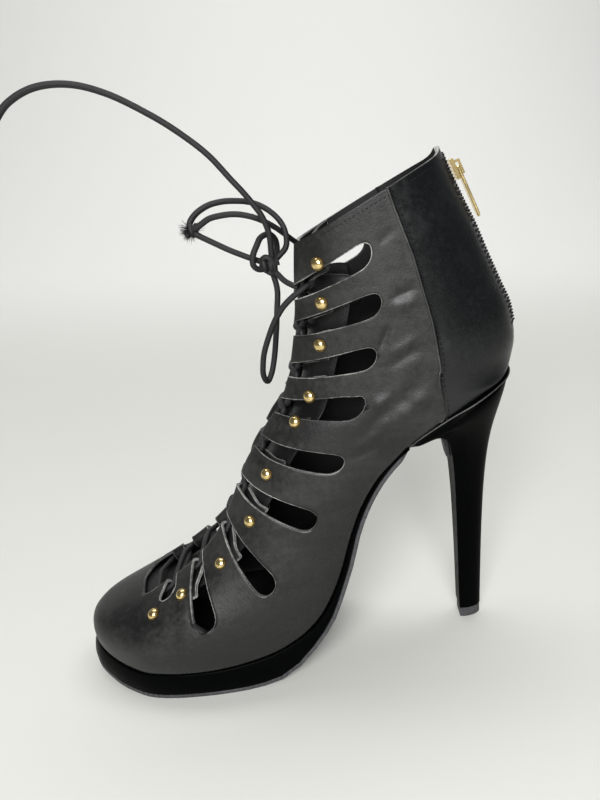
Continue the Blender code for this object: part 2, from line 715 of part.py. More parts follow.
def make_top_lift():
    front = TIP_DEPTH - TIP_BACK - TOP_LIFT_INSET
    back = -TIP_BACK + TOP_LIFT_INSET / 2
    half = TIP_WIDTH / 2 - TOP_LIFT_INSET / 2
    rings = [d_ring(front, back, half, z, z, 2.4) for z in (TOP_LIFT, 0)]
    return mesh_object("top_lift", lambda bm: loft(bm, rings), "sole_rubber", 50)


# Tongue: place along the fan, half width round the section, and depth under the upper's face
TONGUE_ROWS = (
    # at, half width as a share of TAB_REACH, depth as a share of TONGUE_DEPTH
    (3.55, .66, .30),
    (4.10, .70, .34),
    (4.75, .76, 1.0),
    (5.8, .84, 1.0),
    (7.2, .95, 1.0),
    (8.3, 1.02, 1.0),
    (9.3, 1.08, 1.0),
    (10.3, 1.12, 1.0),
    (11.2, 1.14, 1.0),
    (12.2, 1.13, 1.02),
    (13.2, 1.12, 1.04),
    (14.5, 1.13, 1.08),
    (15.8, 1.16, 1.14),
    (17.0, 1.17, 1.18),
    (18.3, 1.18, 1.18),
    (19.5, 1.18, 1.10),
    (20.7, 1.18, 1.04),
    (21.8, 1.26, 1.02),
    (22.8, 1.34, 1.0),
    (24.3, 1.40, 1.0),
)
TONGUE_SHARES = (1, .82, .6, .34, 0)
TONGUE_TOP = 1.1            # how far the tongue's middle rises over its corners, along the fan


def tongue_rings(extra=0.0, top=TONGUE_TOP):
    rings = []
    for n, (u, half, depth) in enumerate(TONGUE_ROWS):
        half = half * TAB_REACH - extra
        rise = top if n == len(TONGUE_ROWS) - 1 else 0.0
        face, back = [], []
        for side in (OUTER, INNER):
            shares = TONGUE_SHARES if side == OUTER else TONGUE_SHARES[::-1][1:]
            for share in shares:
                distance = half * share
                sink = TONGUE_DEPTH + (TONGUE_SIDE_DEPTH - TONGUE_DEPTH) * smooth((distance / TAB_REACH - .72) / .4)
                sink *= depth
                place = u + rise * (1 - share ** 2)
                face.append(inside(place, side, distance, sink))
                back.append(inside(place, side, distance, sink + TONGUE))
        rings.append(face + back[::-1])
    return rings


def smooth(share):
    share = min(1.0, max(0.0, share))
    return share * share * (3 - 2 * share)


def make_tongue():
    return mesh_object("tongue", lambda bm: loft(bm, tongue_rings()), "black_leather", 50)


# Rivets

def dome(bm, point, normal, radius, height, segments=8):
    """A shallow cap that stands on a point."""
    normal = np.array(normal)
    seed = np.array((0, 0, 1.0)) if abs(normal[2]) < .8 else np.array((1.0, 0, 0))
    a = np.cross(normal, seed)
    a /= np.linalg.norm(a)
    b = np.cross(normal, a)
    rings = []
    for share, rise in ((1, 0), (.86, .55), (.5, .9)):
        ring = []
        for k in range(segments):
            turn = math.tau * k / segments
            ring.append(point + (a * math.cos(turn) + b * math.sin(turn)) * radius * share + normal * height * rise)
        rings.append(ring)
    rows = loft(bm, rings, capped=False)
    bm.faces.new(rows[0][::-1])
    tip = bm.verts.new(point + normal * height)
    for k in range(segments):
        bm.faces.new((rows[-1][k], rows[-1][(k + 1) % segments], tip))


def rivet_lift(tree, centre, normal):
    """How far a rivet stands off the last so that its whole rim clears the upper's face."""
    seed = np.cross(normal, (0, 0, 1.0))
    seed /= np.linalg.norm(seed)
    other = np.cross(normal, seed)
    rise = 0.0
    for k in range(16):
        turn = math.tau * k / 16
        for radius in (0, RIVET_RADIUS / 2, RIVET_RADIUS):
            start = centre + (seed * math.cos(turn) + other * math.sin(turn)) * radius + normal * 5 * MM
            hit = tree.ray_cast(Vector(start), Vector(-normal), 9 * MM)[0]
            if hit:
                rise = max(rise, float(np.dot(np.array(hit) - centre, normal)))
    return GAP + rise


def make_rivets(upper):
    face = bmesh.new()
    face.from_mesh(upper.data)
    tree = BVHTree.FromBMesh(face)
    face.free()
    for number, (u, _, rivet) in enumerate(TABS, 1):
        for side, word in ((OUTER, "outer"), (INNER, "inner")):
            normal = outward(u, side, rivet * TAB_REACH)
            centre = skin(u, side, rivet * TAB_REACH)
            foot = centre + normal * rivet_lift(tree, centre, normal)

            def build(bm, foot=foot, normal=normal):
                dome(bm, foot, normal, RIVET_RADIUS, RIVET_HEIGHT)
            mesh_object(f"rivet_{word}_{number}", build, "gold_metal", 60)


# Zip

def back_frame(u):
    """Point, outward direction and upward direction on the centre back line."""
    x, z = section_at(float(u))[:2]
    ahead, behind = section_at(float(min(u + .1, COLLAR)))[:2], section_at(float(u - .1))[:2]
    up = np.array([ahead[0] - behind[0], 0, ahead[1] - behind[1]])
    up /= np.linalg.norm(up)
    return np.array([x, 0, z]), np.array([-up[2], 0, up[0]]), up


def back_strip(name, slot, low, high, half, bottom, top, lift=0.0):
    def build(bm):
        rings = []
        for u in steps(low, high, 12):
            point, out, up = back_frame(u)
            across = np.array([0, 1, 0])
            point = point + up * (lift if u == high else 0)
            rings.append([point + across * y + out * h for y, h in
                          ((half, bottom), (half, top), (-half, top), (-half, bottom))])
        loft(bm, rings)
    return mesh_object(name, build, slot, 40)


def make_zip():
    sunk = COUNTER_STEP + ZIP_TAPE
    half = ZIP_SLOT / 2 - .75 * MM
    back_strip("zip_tape", "zip_tape", ZIP_END + .2, COLLAR, half, -sunk, -COUNTER_STEP)
    back_strip("zip_teeth", "zip_tape", ZIP_END + .3, COLLAR, TEETH_WIDTH / 2, GAP - COUNTER_STEP,
               GAP - COUNTER_STEP + TEETH_HEIGHT)


def slider_frame():
    """Pivot of the pull, outward and upward directions, and the height of the slider's underside."""
    point, out, up = back_frame(SLIDER_AT)
    bottom = GAP - COUNTER_STEP + TEETH_HEIGHT + GAP
    top = bottom + SLIDER_THICK
    pivot = point + out * (top + GAP + PULL_THICK / 2)
    return point, pivot, out, up, bottom


def block(bm, centre, axes, sizes):
    """A box: its centre, three directions and three sizes."""
    corners = []
    for a in (-.5, .5):
        for b in (-.5, .5):
            for c in (-.5, .5):
                corners.append(bm.verts.new(centre + axes[0] * sizes[0] * a + axes[1] * sizes[1] * b
                                            + axes[2] * sizes[2] * c))
    for face in ((0, 1, 3, 2), (4, 6, 7, 5), (0, 4, 5, 1), (2, 3, 7, 6), (0, 2, 6, 4), (1, 5, 7, 3)):
        bm.faces.new([corners[k] for k in face])


def join(target, cutter):
    """Adds a hidden solid to another with an exact boolean."""
    union = target.modifiers.new("join_" + cutter.name, "BOOLEAN")
    union.operation = "UNION"
    union.solver = "EXACT"
    union.object = cutter
    cutter.hide_render = True
    cutter.display_type = "WIRE"


def make_slider():
    point, _, out, up, bottom = slider_frame()
    across = np.array([0, 1.0, 0])
    axes = (across, up, out)
    middle = point + out * (bottom + SLIDER_THICK / 2)
    slider = mesh_object("zip_slider", lambda bm: block(bm, middle, axes, (SLIDER_WIDTH, SLIDER_LENGTH, SLIDER_THICK)),
                         "gold_metal", 30)
    low, high = bottom + SLIDER_THICK / 2, bottom + SLIDER_THICK + 2 * GAP + PULL_THICK + BRIDGE_THICK
    strap = point + out * (high - BRIDGE_THICK / 2)
    for name, shift in (("leg_low", -BRIDGE_HALF), ("leg_high", BRIDGE_HALF)):
        centre = point + up * shift + out * (low + high) / 2
        leg = mesh_object(name, lambda bm, c=centre: block(bm, c, axes, (BRIDGE_WIDTH, BRIDGE_THICK, high - low)),
                          "gold_metal", 30)
        join(slider, leg)
    sizes = (BRIDGE_WIDTH * .96, 2 * BRIDGE_HALF + BRIDGE_THICK * .9, BRIDGE_THICK * .9)
    join(slider, mesh_object("strap", lambda bm: block(bm, strap, axes, sizes), "gold_metal", 30))


def make_pull():
    """The pull: a flat tab whose eye goes round the slider's bridge. It turns about its eye's top bar."""
    _, pivot, out, up, _ = slider_frame()
    across = np.array([0, 1.0, 0])
    half, eye = PULL_WIDTH / 2, BRIDGE_WIDTH / 2 + PULL_CLEAR
    bar = PULL_THICK / 2
    swing = math.hypot(BRIDGE_HALF + BRIDGE_THICK / 2, bar + GAP + BRIDGE_THICK)
    eye_end = -(swing + PULL_CLEAR)
    outer = [(eye + PULL_ARM, bar), (eye + PULL_ARM, eye_end), (half, eye_end - PULL_NECK), (half, -PULL_LENGTH + half),
             (half * .7, -PULL_LENGTH + half * .3), (0, -PULL_LENGTH)]
    outer += [(-y, u) for y, u in outer[-2::-1]]
    inner = [(eye, -bar), (eye, eye_end * .6), (eye, eye_end), (eye * .8, eye_end), (eye * .4, eye_end), (0, eye_end)]
    inner += [(-y, u) for y, u in inner[-2::-1]]

    def build(bm):
        rows = []
        for height in (-PULL_THICK / 2, PULL_THICK / 2):
            for outline in (outer, inner):
                rows.append([bm.verts.new(pivot + across * y + up * u + out * height) for y, u in outline])
        count = len(outer)
        for k in range(count):
            j = (k + 1) % count
            for a, b in ((0, 1), (1, 3), (3, 2), (2, 0)):
                bm.faces.new((rows[a][k], rows[a][j], rows[b][j], rows[b][k]))
    pull = mesh_object("zip_pull", build, "gold_metal", 30)
    pull.data.transform(Matrix.Translation(Vector(-pivot)))
    pull.location = Vector(pivot)


# Lace

def route_curve(points, step):
    """Points a step apart on a smooth curve through a route's own points."""
    points = [np.array(p, float) for p in points]
    ends = [2 * points[0] - points[1]] + points + [2 * points[-1] - points[-2]]
    fine = []
    for a, b, c, d in zip(ends, ends[1:], ends[2:], ends[3:]):
        for t in np.linspace(0, 1, 12, endpoint=False):
            fine.append(.5 * (2 * b + (c - a) * t + (2 * a - 5 * b + 4 * c - d) * t ** 2
                              + (3 * b - a - 3 * c + d) * t ** 3))
    fine = np.array(fine + [points[-1]])
    run = np.concatenate([[0], np.cumsum(np.linalg.norm(np.diff(fine, axis=0), axis=1))])
    count = max(2, round(run[-1] / step) + 1)
    marks = np.linspace(0, run[-1], count)
    return np.stack([np.interp(marks, run, fine[:, k]) for k in range(3)], 1)


def tube(bm, points, radius, sides):
    """A closed round tube along points."""
    rings = []
    tangent = points[1] - points[0]
    side = np.cross(tangent, (0, 0, 1.0))
    for k, point in enumerate(points):
        tangent = points[min(k + 1, len(points) - 1)] - points[max(k - 1, 0)]
        tangent /= np.linalg.norm(tangent)
        side = side - tangent * np.dot(side, tangent)
        side /= np.linalg.norm(side)
        other = np.cross(tangent, side)
        rings.append([point + (side * math.cos(math.tau * n / sides) + other * math.sin(math.tau * n / sides)) * radius
                      for n in range(sides)])
    loft(bm, rings)


def loop_point(u, side):
    """The middle of a tab's loop at a place along the fan."""
    fold = tab_value(u, 1)
    return skin(u, side, fold + LOOP_SLACK) - outward(u, side, fold) * TAB_LOOP


def tab_columns(number, side, edges):
    """The middle of a tab's loop at each of the upper's lines that cross it, from the collar's end."""
    high = SLITS[number - 1][0] if number else COLLAR
    low = SLITS[number][0] if number < len(SLITS) else THROAT_FRONT + .1
    points = []
    for line in fan_lines()[::-1]:
        inner = low < line["mouth"] < high and not line["edge"]
        edge = edges and (line["mouth"] == low and line["edge"] == 1 or line["mouth"] == high and line["edge"] == -1)
        if inner or edge:
            u, fold = line_points(line, side)[0][0][0], tab_value(line["mouth"], 1)
            points.append(skin(u, side, fold + LOOP_SLACK) - outward(u, side, fold) * TAB_LOOP)
    return points


def lace_strand(first):
    """One strand from its loop in the first tab down to the last, crossing over at each slit."""
    points = []
    side = first
    for number, tab in enumerate(TABS):
        top = COLLAR - STRAND_TOP if number == 0 else SLITS[number - 1][0] - strand_turn(number - 1, side)
        low = SLITS[number][0] + strand_turn(number, side) if number < len(TABS) - 1 else STRAND_END
        points.append(loop_point(tab[0] if number == 0 else top, side))
        points += tab_columns(number, side, number in CLOSE_TABS)
        points.append(loop_point(low, side))
        if number < len(TABS) - 1:
            depth = CROSS_DEPTHS[(number + (first == INNER)) % 2]
            middle = SLITS[number][0]
            points.append(inside(middle, side, CROSS_AT, depth))
            points.append(inside(middle, -side, CROSS_AT, depth))
        side = -side
    return points, -side


def strand_turn(number, side):
    """How far from the middle of a slit's mouth its two strands turn, as a share of the fan."""
    place = SLITS[number][0]
    return walk(place, side, SLIT_REACH / 4, SLIT_MOUTH * .22) - place


def make_crossings():
    outer_strand, last = lace_strand(OUTER)
    inner_strand, _ = lace_strand(INNER)
    front = inside(FRONT_TURN, OUTER, 0, .8 * TAB_LOOP)
    points = outer_strand + [front] + inner_strand[::-1]
    mesh_object("lace_crossings", lambda bm: tube(bm, points, LACE / 2, 6), "lace_cord", 60)


# Routes of the free cords, in millimetres: forwards, to the outer side, up
KNOT = (84.3, 4, 182.6)
ROUTES = {
    "lace_end_long": ((83, 4.8, 186), (83, 6.5, 195), (85, 8, 202), (88, 9, 207), (91.5, 10, 211.8),
                      (95, 10.5, 216), (102, 11, 224.5), (111, 11.5, 232), (120.5, 12, 238.2), (133, 12, 244.5),
                      (145, 12, 247.5), (157, 11, 246.5), (167, 10, 241.5), (174, 9, 234)),
    "lace_loop_front": ((81, 3, 185), (77.2, 2, 189.5), (76.8, 1, 194), (78.2, 0, 198.6), (81.5, -1, 202.6),
                        (86, -2, 205.6), (91, -3, 207.2), (96, -3, 207.6), (101, -3, 207.4), (106, -2, 206.2),
                        (110.2, -1, 203.8), (112.6, 0, 200.6), (112.2, 1.6, 197.8), (109.4, 3, 199.2),
                        (105.5, 4, 201.2), (100.5, 5, 202.4), (95.5, 5.2, 202.8), (90.3, 5, 202),
                        (85.6, 3.6, 200.2), (81.2, .6, 197.4), (77.6, -3.4, 194.2), (74.8, -7.4, 191.4)),
    "lace_end_short": ((88.4, 4.4, 184.4), (92.5, 4.6, 186), (99.4, 4.4, 189), (106.6, 3.4, 192.6), (110.6, 2.4, 194.6)),
    "lace_loop_small": ((88.2, 6.9, 181.6), (90, 8.6, 183), (89.8, 8.6, 187), (88.2, 7.4, 190.6), (86.6, 4, 193.6), (83.6, 1, 194.6),
                        (81.6, -1.4, 192.6), (81.2, -2.9, 189), (81.7, -2, 186.6), (83.1, .15, 183.9)),
    "lace_loop_hanging": ((83.4, 2.9, 179.4), (82.2, 2.8, 172), (83.2, 2.4, 163), (84.4, 2, 154), (86, 1.8, 144),
                          (87.8, 2.6, 136.6), (89.8, 4.2, 133), (91, 6, 136.4), (90.6, 7.4, 141.4),
                          (89.4, 8.6, 147), (87, 10.4, 153.4), (83.8, 12.6, 160.4), (79.8, 14.6, 166.6),
                          (75.4, 15.8, 171), (71.2, 16.4, 174)),
    "lace_tie": ((81.8, 5.2, 179.5), (78.6, 7.4, 176.4), (75.4, 9.6, 174.8)),
}


def make_cords():
    for name, route in ROUTES.items():
        points = route_curve([[c * MM for c in point] for point in route], CORD_STEP)
        curve = bpy.data.curves.new(name, "CURVE")
        curve.dimensions = "3D"
        curve.bevel_depth = LACE / 2
        curve.bevel_resolution = 2
        curve.use_fill_caps = True
        spline = curve.splines.new("POLY")
        spline.points.add(len(points) - 1)
        for place, point in zip(spline.points, points):
            place.co = (*point, 1)
        curve.materials.append(material("lace_cord"))
        bpy.context.collection.objects.link(bpy.data.objects.new(name, curve))


def make_knot():
    centre = np.array(KNOT) * MM

    def build(bm):
        rings = []
        for k in range(1, 6):
            lift = math.pi * k / 6
            rings.append([centre + np.array([KNOT_SIZE[0] * math.sin(lift) * math.cos(math.tau * n / 8),
                                             KNOT_SIZE[1] * math.sin(lift) * math.sin(math.tau * n / 8),
                                             KNOT_SIZE[2] * math.cos(lift)]) for n in range(8)])
        loft(bm, rings)
    mesh_object("lace_knot", build, "lace_cord", 60)


def main():
    clear_scene()
    make_outsole()
    make_platform()
    make_insole()
    make_heel()
    make_top_lift()
    upper = make_upper()
    make_tongue()
    make_rivets(upper)
    make_zip()
    make_slider()
    make_pull()
    make_crossings()
    make_knot()
    make_cords()


main()
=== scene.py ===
"""Looks of the lace up heel: camera, materials, lace, the shoe's pieces, then stage and light, in metres."""
import math
import random
from functools import lru_cache

import bmesh
import bpy
import numpy as np
from mathutils import Matrix, Vector
from mathutils.bvhtree import BVHTree


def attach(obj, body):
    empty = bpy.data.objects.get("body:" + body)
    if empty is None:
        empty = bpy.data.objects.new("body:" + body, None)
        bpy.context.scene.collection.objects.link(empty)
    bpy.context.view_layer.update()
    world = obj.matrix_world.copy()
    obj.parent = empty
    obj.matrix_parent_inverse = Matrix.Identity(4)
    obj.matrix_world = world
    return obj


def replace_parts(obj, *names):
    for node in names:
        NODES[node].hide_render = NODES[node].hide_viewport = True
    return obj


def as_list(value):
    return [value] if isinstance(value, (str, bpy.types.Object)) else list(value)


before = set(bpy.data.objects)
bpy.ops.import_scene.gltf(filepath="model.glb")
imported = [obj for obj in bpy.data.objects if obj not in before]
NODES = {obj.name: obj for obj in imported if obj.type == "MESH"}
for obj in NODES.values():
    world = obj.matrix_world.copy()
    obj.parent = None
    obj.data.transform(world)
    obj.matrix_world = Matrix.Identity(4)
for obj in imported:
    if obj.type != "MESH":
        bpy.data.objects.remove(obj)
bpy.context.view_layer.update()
MM = 0.001
OUTER, INNER = 1, -1
SIDES = ((OUTER, "outer"), (INNER, "inner"))
SHOE, PULL = "shoe", "zip_pull_tab"
CHART_PLACES, CHART_WIDTH = 30, .15


def linked(name, data):
    made = bpy.data.objects.new(name, data)
    bpy.context.collection.objects.link(made)
    return made


def unit(vector):
    return vector / np.linalg.norm(vector)


def run_of(points):
    """The distances along a line of points."""
    return np.concatenate([[0], np.cumsum(np.linalg.norm(np.diff(points, axis=0), axis=1))])


def at_marks(marks, run, values):
    """Points or normals read off at marks along a run."""
    values = np.asarray(values)
    return np.array([np.interp(marks, run, values[:, k]) for k in range(3)]).T


# Camera: the photograph's, moved sideways only by its shift
EYE = np.array((57.8, 279.3, 213.9)) * MM
TURN, LIFT, ROLL = map(math.radians, (10.1, 18.76, 0.5))
LENS, SHIFT, NEAREST = 28.8, -0.19, .01


def set_camera():
    ahead = np.array((-math.sin(TURN) * math.cos(LIFT), -math.cos(TURN) * math.cos(LIFT), -math.sin(LIFT)))
    flat = np.array((-math.cos(TURN), math.sin(TURN), 0))
    high = np.cross(flat, ahead)
    right = math.cos(ROLL) * flat - math.sin(ROLL) * high
    up = math.sin(ROLL) * flat + math.cos(ROLL) * high
    camera = linked("camera", bpy.data.cameras.new("camera"))
    camera.data.lens = LENS
    camera.data.shift_x = SHIFT
    camera.data.clip_start = NEAREST
    camera.matrix_world = Matrix([[right[k], up[k], -ahead[k], EYE[k]] for k in range(3)] + [[0, 0, 0, 1]])
    bpy.context.scene.camera = camera


set_camera()


# Shader maths

class Sock:
    """A shader socket that takes part in arithmetic."""

    def __init__(self, tree, socket):
        self.tree, self.socket = tree, socket

    def into(self, slot):
        self.tree.links.new(self.socket, slot)

    def math(self, operation, *others):
        node = self.tree.nodes.new("ShaderNodeMath")
        node.operation = operation
        for slot, value in zip(node.inputs, (self, *others)):
            fill(slot, value)
        return Sock(self.tree, node.outputs[0])

    def __add__(self, other):
        return self.math("ADD", other)

    def __sub__(self, other):
        return self.math("SUBTRACT", other)

    def __rsub__(self, other):
        return (self * -1) + other

    def __mul__(self, other):
        return self.math("MULTIPLY", other)

    def clamp(self, low, high):
        """0 below low, 1 above high, smooth between."""
        node = self.tree.nodes.new("ShaderNodeMapRange")
        node.interpolation_type = "SMOOTHSTEP"
        self.into(node.inputs["Value"])
        node.inputs["From Min"].default_value = low
        node.inputs["From Max"].default_value = high
        return Sock(self.tree, node.outputs[0])


def fill(slot, value):
    """Links a socket to a slot, or sets the slot to a number or colour."""
    if isinstance(value, Sock):
        value.into(slot)
    else:
        slot.default_value = value


class Finish:
    """A material under construction."""

    def __init__(self, name, **constants):
        self.material = bpy.data.materials.new(name)
        self.material.use_nodes = True
        self.tree = self.material.node_tree
        self.shader = self.tree.nodes["Principled BSDF"]
        for key, value in constants.items():
            self.shader.inputs[key.replace("_", " ")].default_value = value

    def node(self, kind, output=0, settings=(), **values):
        made = self.tree.nodes.new("ShaderNode" + kind)
        for key, value in dict(settings).items():
            setattr(made, key, value)
        for key, value in values.items():
            fill(made.inputs[key.replace("_", " ")], value)
        return Sock(self.tree, made.outputs[output])

    def place(self):
        return self.node("TexCoord", "Object")

    def uv(self):
        return self.node("TexCoord", "UV")

    def axis(self, vector, name):
        return self.node("SeparateXYZ", name, Vector=vector)

    def noise(self, vector, scale, detail):
        return self.node("TexNoise", "Fac", Vector=vector, Scale=scale, Detail=detail, Roughness=.55)

    def cells(self, vector, scale):
        return self.node("TexVoronoi", "Distance", {"feature": "SMOOTH_F1"}, Vector=vector, Scale=scale)

    def blend(self, mask, first, second):
        """One colour or the other, by a mask."""
        mix = self.tree.nodes.new("ShaderNodeMix")
        mix.data_type = "RGBA"
        mask.into(mix.inputs[0])
        for slot, value in zip(mix.inputs[6:8], (first, second)):
            fill(slot, value if isinstance(value, Sock) else (*value, 1))
        return Sock(self.tree, mix.outputs[2])

    def feed(self, slot, value):
        value.into(self.shader.inputs[slot])

    def bump(self, height, distance):
        self.feed("Normal", self.node("Bump", "Normal", Height=height, Distance=distance, Strength=1))
        return self.material


def leather(name, dark, light, rough, grain, gloss):
    """Black grain leather: fine pebbles, soft cloudy wear and a rubbed sheen."""
    made = Finish(name, Specular_IOR_Level=gloss)
    at = made.place()
    clouds = made.noise(at, 38, 4)
    fine = made.noise(at, 420, 3)
    pebbles = made.cells(at, 1500)
    wear = (clouds * .7 + fine * .3).clamp(.42, .72)
    made.feed("Base Color", made.blend(wear, dark, light))
    made.feed("Roughness", wear * .14 + pebbles * .08 + fine * .10 + (rough - .05))
    return made.bump(pebbles * .5 + fine * .5, .00006 * grain)


def quarter_leather():
    """The upper's leather: a broad rubbed sheen over the tabs and ankle, smoother down by the sole; its colour is
    painted lighter high up and near the crest and darker down by the sole, as painted light and shade.
    """
    made = Finish("quarter_leather", Specular_IOR_Level=.46)
    at = made.place()
    clouds, fine = made.noise(at, 38, 4), made.noise(at, 420, 4)
    pebbles = made.cells(at, 1500)
    streaks = made.noise(made.node("Mapping", "Vector", Vector=at, Scale=(60, 60, 260)), 1, 4)
    high = made.axis(at, "Z").clamp(.070, .125)
    near = 1 - (made.axis(made.uv(), "Y").math("ABSOLUTE") * CHART_WIDTH).clamp(.050, .068)
    # Mask of height and nearness to the crest: rougher rubbed wear there, and painted light in the base colour
    flex_wear_and_painted_light = high + near - high * near
    wear = (clouds * .5 + fine * .3 + streaks * .2).clamp(.40, .68)
    # Painted light and shade: base colour lighter high up and near the crest, where the key light falls, and darker
    # low on the sides, over the random wear clouds
    made.feed("Base Color", made.blend(wear * (flex_wear_and_painted_light * .8 + .2), (.0030, .0030, .0031), (.0200, .0198, .0186)))
    made.feed("Roughness", flex_wear_and_painted_light * .20 + wear * .13 + pebbles * .06 + fine * .08 + .15)
    return made.bump(pebbles * .45 + fine * .55 + streaks * .5, .00012)


def cord_finish():
    """Round braid: slanting plaits both ways from the cord's own UV map."""
    made = Finish("lace_braid", Specular_IOR_Level=0.35)
    uv = made.uv()
    along, around = made.axis(uv, "X"), made.axis(uv, "Y")
    first = ((along * 3.2 + around * 5) * math.tau).math("SINE")
    second = ((along * 3.2 - around * 5) * math.tau).math("SINE")
    weave = first * second * .5 + .5
    fuzz = made.noise(made.place(), 2600, 2)
    made.feed("Base Color", made.blend(weave * .6 + fuzz * .4, (.0040, .0040, .0046), (.0190, .0190, .0210)))
    made.feed("Roughness", weave * -.12 + .62)
    return made.bump(weave * .8 + fuzz * .3, .00012)


def metal_finish(name, colour, rough):
    """Polished metal with faint clouding."""
    made = Finish(name, Metallic=1.0)
    at = made.place()
    fine = made.noise(at, 900, 3)
    made.feed("Base Color", made.blend(fine.clamp(.35, .75), colour, tuple(c * .62 for c in colour)))
    made.feed("Roughness", fine * .14 + rough)
    return made.bump(fine, .00002)


def cloth_finish(name, colour, scale):
    """Woven thread or tape with fine ribs."""
    made = Finish(name, Specular_IOR_Level=0.25)
    at = made.place()
    rib = (made.axis(at, "Z") * scale).math("SINE") * .5 + .5
    fine = made.noise(at, 1800, 2)
    made.feed("Base Color", made.blend(rib * .5 + fine * .5, colour, tuple(c * 2.2 for c in colour)))
    made.feed("Roughness", fine * .15 + .7)
    return made.bump(rib * .5 + fine * .5, .00008)


def sole_finish():
    """Matt moulded sole with two groups of ribs across the forefoot."""
    made = Finish("ribbed_sole", Specular_IOR_Level=0.3)
    at = made.place()
    x, y = made.axis(at, "X"), made.axis(at, "Y")
    bow = x + y * y * 3.0
    close = (bow * (math.tau / .0021)).math("SINE") * bow.clamp(.126, .132) * (1 - bow.clamp(.160, .166))
    wide = (bow * (math.tau / .0050)).math("SINE") * bow.clamp(.086, .090) * (1 - bow.clamp(.112, .116))
    fine = made.noise(at, 700, 3)
    made.feed("Base Color", made.blend(fine.clamp(.3, .7), (.038, .038, .041), (.060, .060, .064)))
    made.feed("Roughness", fine * .12 + .52)
    return made.bump(close * .45 + wide * .8 + fine * .06, .0005)


LEATHER = quarter_leather()
COUNTER = leather("counter_leather", (.0016, .0020, .0024), (.0060, .0066, .0074), .28, .9, .48)
COVER = leather("heel_cover", (.0006, .0007, .0008), (.0012, .0013, .0015), .34, .5, .02)
TONGUE_LEATHER = leather("tongue_leather", (.0030, .0030, .0034), (.0090, .0090, .0092), .42, .8, .35)
# Pale cut-edge leather: the raw fibres' own colour, lightened further as a painted highlight along the edges
EDGE = leather("cut_edge", (.060, .060, .058), (.42, .42, .40), .70, 4.0, .3)
# Lighter leather for the seam's rolled fold and the heel join line: a painted highlight along these edges
SEAM_FOLD_HIGHLIGHT = leather("seam_fold_painted_highlight", (.020, .020, .020), (.075, .074, .070), .34, 1.5, .5)
LINING = leather("lining", (.0040, .0040, .0044), (.0090, .0090, .0095), .58, .8, .3)
THREAD = cloth_finish("thread", (.006, .006, .007), 9000)
TAPE = cloth_finish("zip_tape_weave", (.008, .008, .009), 6000)
TEETH = leather("zip_teeth_moulded", (.005, .005, .006), (.010, .010, .011), .22, .3, .55)
GOLD = metal_finish("gold_polished", (.86, .66, .30), .16)
RIM_GOLD = metal_finish("gold_aged_rim", (.24, .17, .07), .38)
CORD = cord_finish()
SOLE = sole_finish()


# Mesh making

def finish_mesh(name, bm, materials, smooth, welded=.00002):
    """Turns a bmesh into a piece of the shoe, with edges sharp above an angle in degrees."""
    if welded:
        bmesh.ops.remove_doubles(bm, verts=bm.verts, dist=welded)
    bmesh.ops.recalc_face_normals(bm, faces=bm.faces)
    mesh = bpy.data.meshes.new(name)
    bm.to_mesh(mesh)
    bm.free()
    for one in materials:
        mesh.materials.append(one)
    piece = linked(name, mesh)
    mesh.shade_smooth()
    if smooth:
        mesh.set_sharp_from_angle(angle=math.radians(smooth))
    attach(piece, SHOE)
    return piece


def patch(bm, columns, rows, place, chart=None):
    """A grid whose points are moved to place(column, row), with an optional UV chart."""
    made = bmesh.ops.create_grid(bm, x_segments=columns, y_segments=rows, size=.5)["verts"]
    low = Vector((min(v.co.x for v in made), min(v.co.y for v in made)))
    high = Vector((max(v.co.x for v in made), max(v.co.y for v in made)))
    spots = {}
    for v in made:
        i = round((v.co.x - low.x) / (high.x - low.x) * columns)
        k = round((v.co.y - low.y) / (high.y - low.y) * rows)
        spots[v] = (i, k)
    if chart:
        layer = bm.loops.layers.uv.verify()
        for face in {f for v in made for f in v.link_faces}:
            for loop in face.loops:
                loop[layer].uv = chart(*spots[loop.vert])
    for v, (i, k) in spots.items():
        v.co = place(i, k)
    return {spot: v for v, spot in spots.items()}


def ring_stack(bm, rings, capped=True):
    """A skin through rings of points, closed at both ends if capped."""
    count = len(rings[0])
    spots = patch(bm, len(rings) - 1, count, lambda i, k: rings[i][k % count])
    for end in (0, len(rings) - 1) if capped else ():
        bm.faces.new([spots[(end, k)] for k in range(count)])
    return spots


def softened(piece, levels):
    """Subdivides a piece."""
    fine = piece.modifiers.new("fine", "SUBSURF")
    fine.levels = fine.render_levels = levels
    return fine


def curve_through(points, step):
    """Points a step apart on a smooth curve through a route's points."""
    points = [np.array(p, float) for p in points]
    ends = [2 * points[0] - points[1]] + points + [2 * points[-1] - points[-2]]
    fine = []
    for a, b, c, d in zip(ends, ends[1:], ends[2:], ends[3:]):
        for t in np.linspace(0, 1, 16, endpoint=False):
            fine.append(.5 * (2 * b + (c - a) * t + (2 * a - 5 * b + 4 * c - d) * t ** 2
                              + (3 * b - a - 3 * c + d) * t ** 3))
    fine = np.array(fine + [points[-1]])
    run = run_of(fine)
    marks = np.linspace(0, run[-1], max(3, round(run[-1] / step) + 1))
    return at_marks(marks, run, fine), run[-1]


def tube(bm, points, radius, sides=12):
    """A round tube with closed ends and a UV map along and around it."""
    run = run_of(points)
    frames = []
    tangent = points[1] - points[0]
    side = np.cross(tangent, (0, 0, 1.0) if abs(tangent[2]) < .9 * np.linalg.norm(tangent) else (1.0, 0, 0))
    for k in range(len(points)):
        tangent = unit(points[min(k + 1, len(points) - 1)] - points[max(k - 1, 0)])
        side = unit(side - tangent * np.dot(side, tangent))
        frames.append((points[k], side, np.cross(tangent, side)))

    def place(i, k):
        centre, a, b = frames[i]
        turn = math.tau * (k % sides) / sides
        return centre + (a * math.cos(turn) + b * math.sin(turn)) * radius
    spots = patch(bm, len(points) - 1, sides, place, lambda i, k: (run[i] / (2 * radius), k / sides))
    for end in (0, len(points) - 1):
        bm.faces.new([spots[(end, k)] for k in range(sides)])


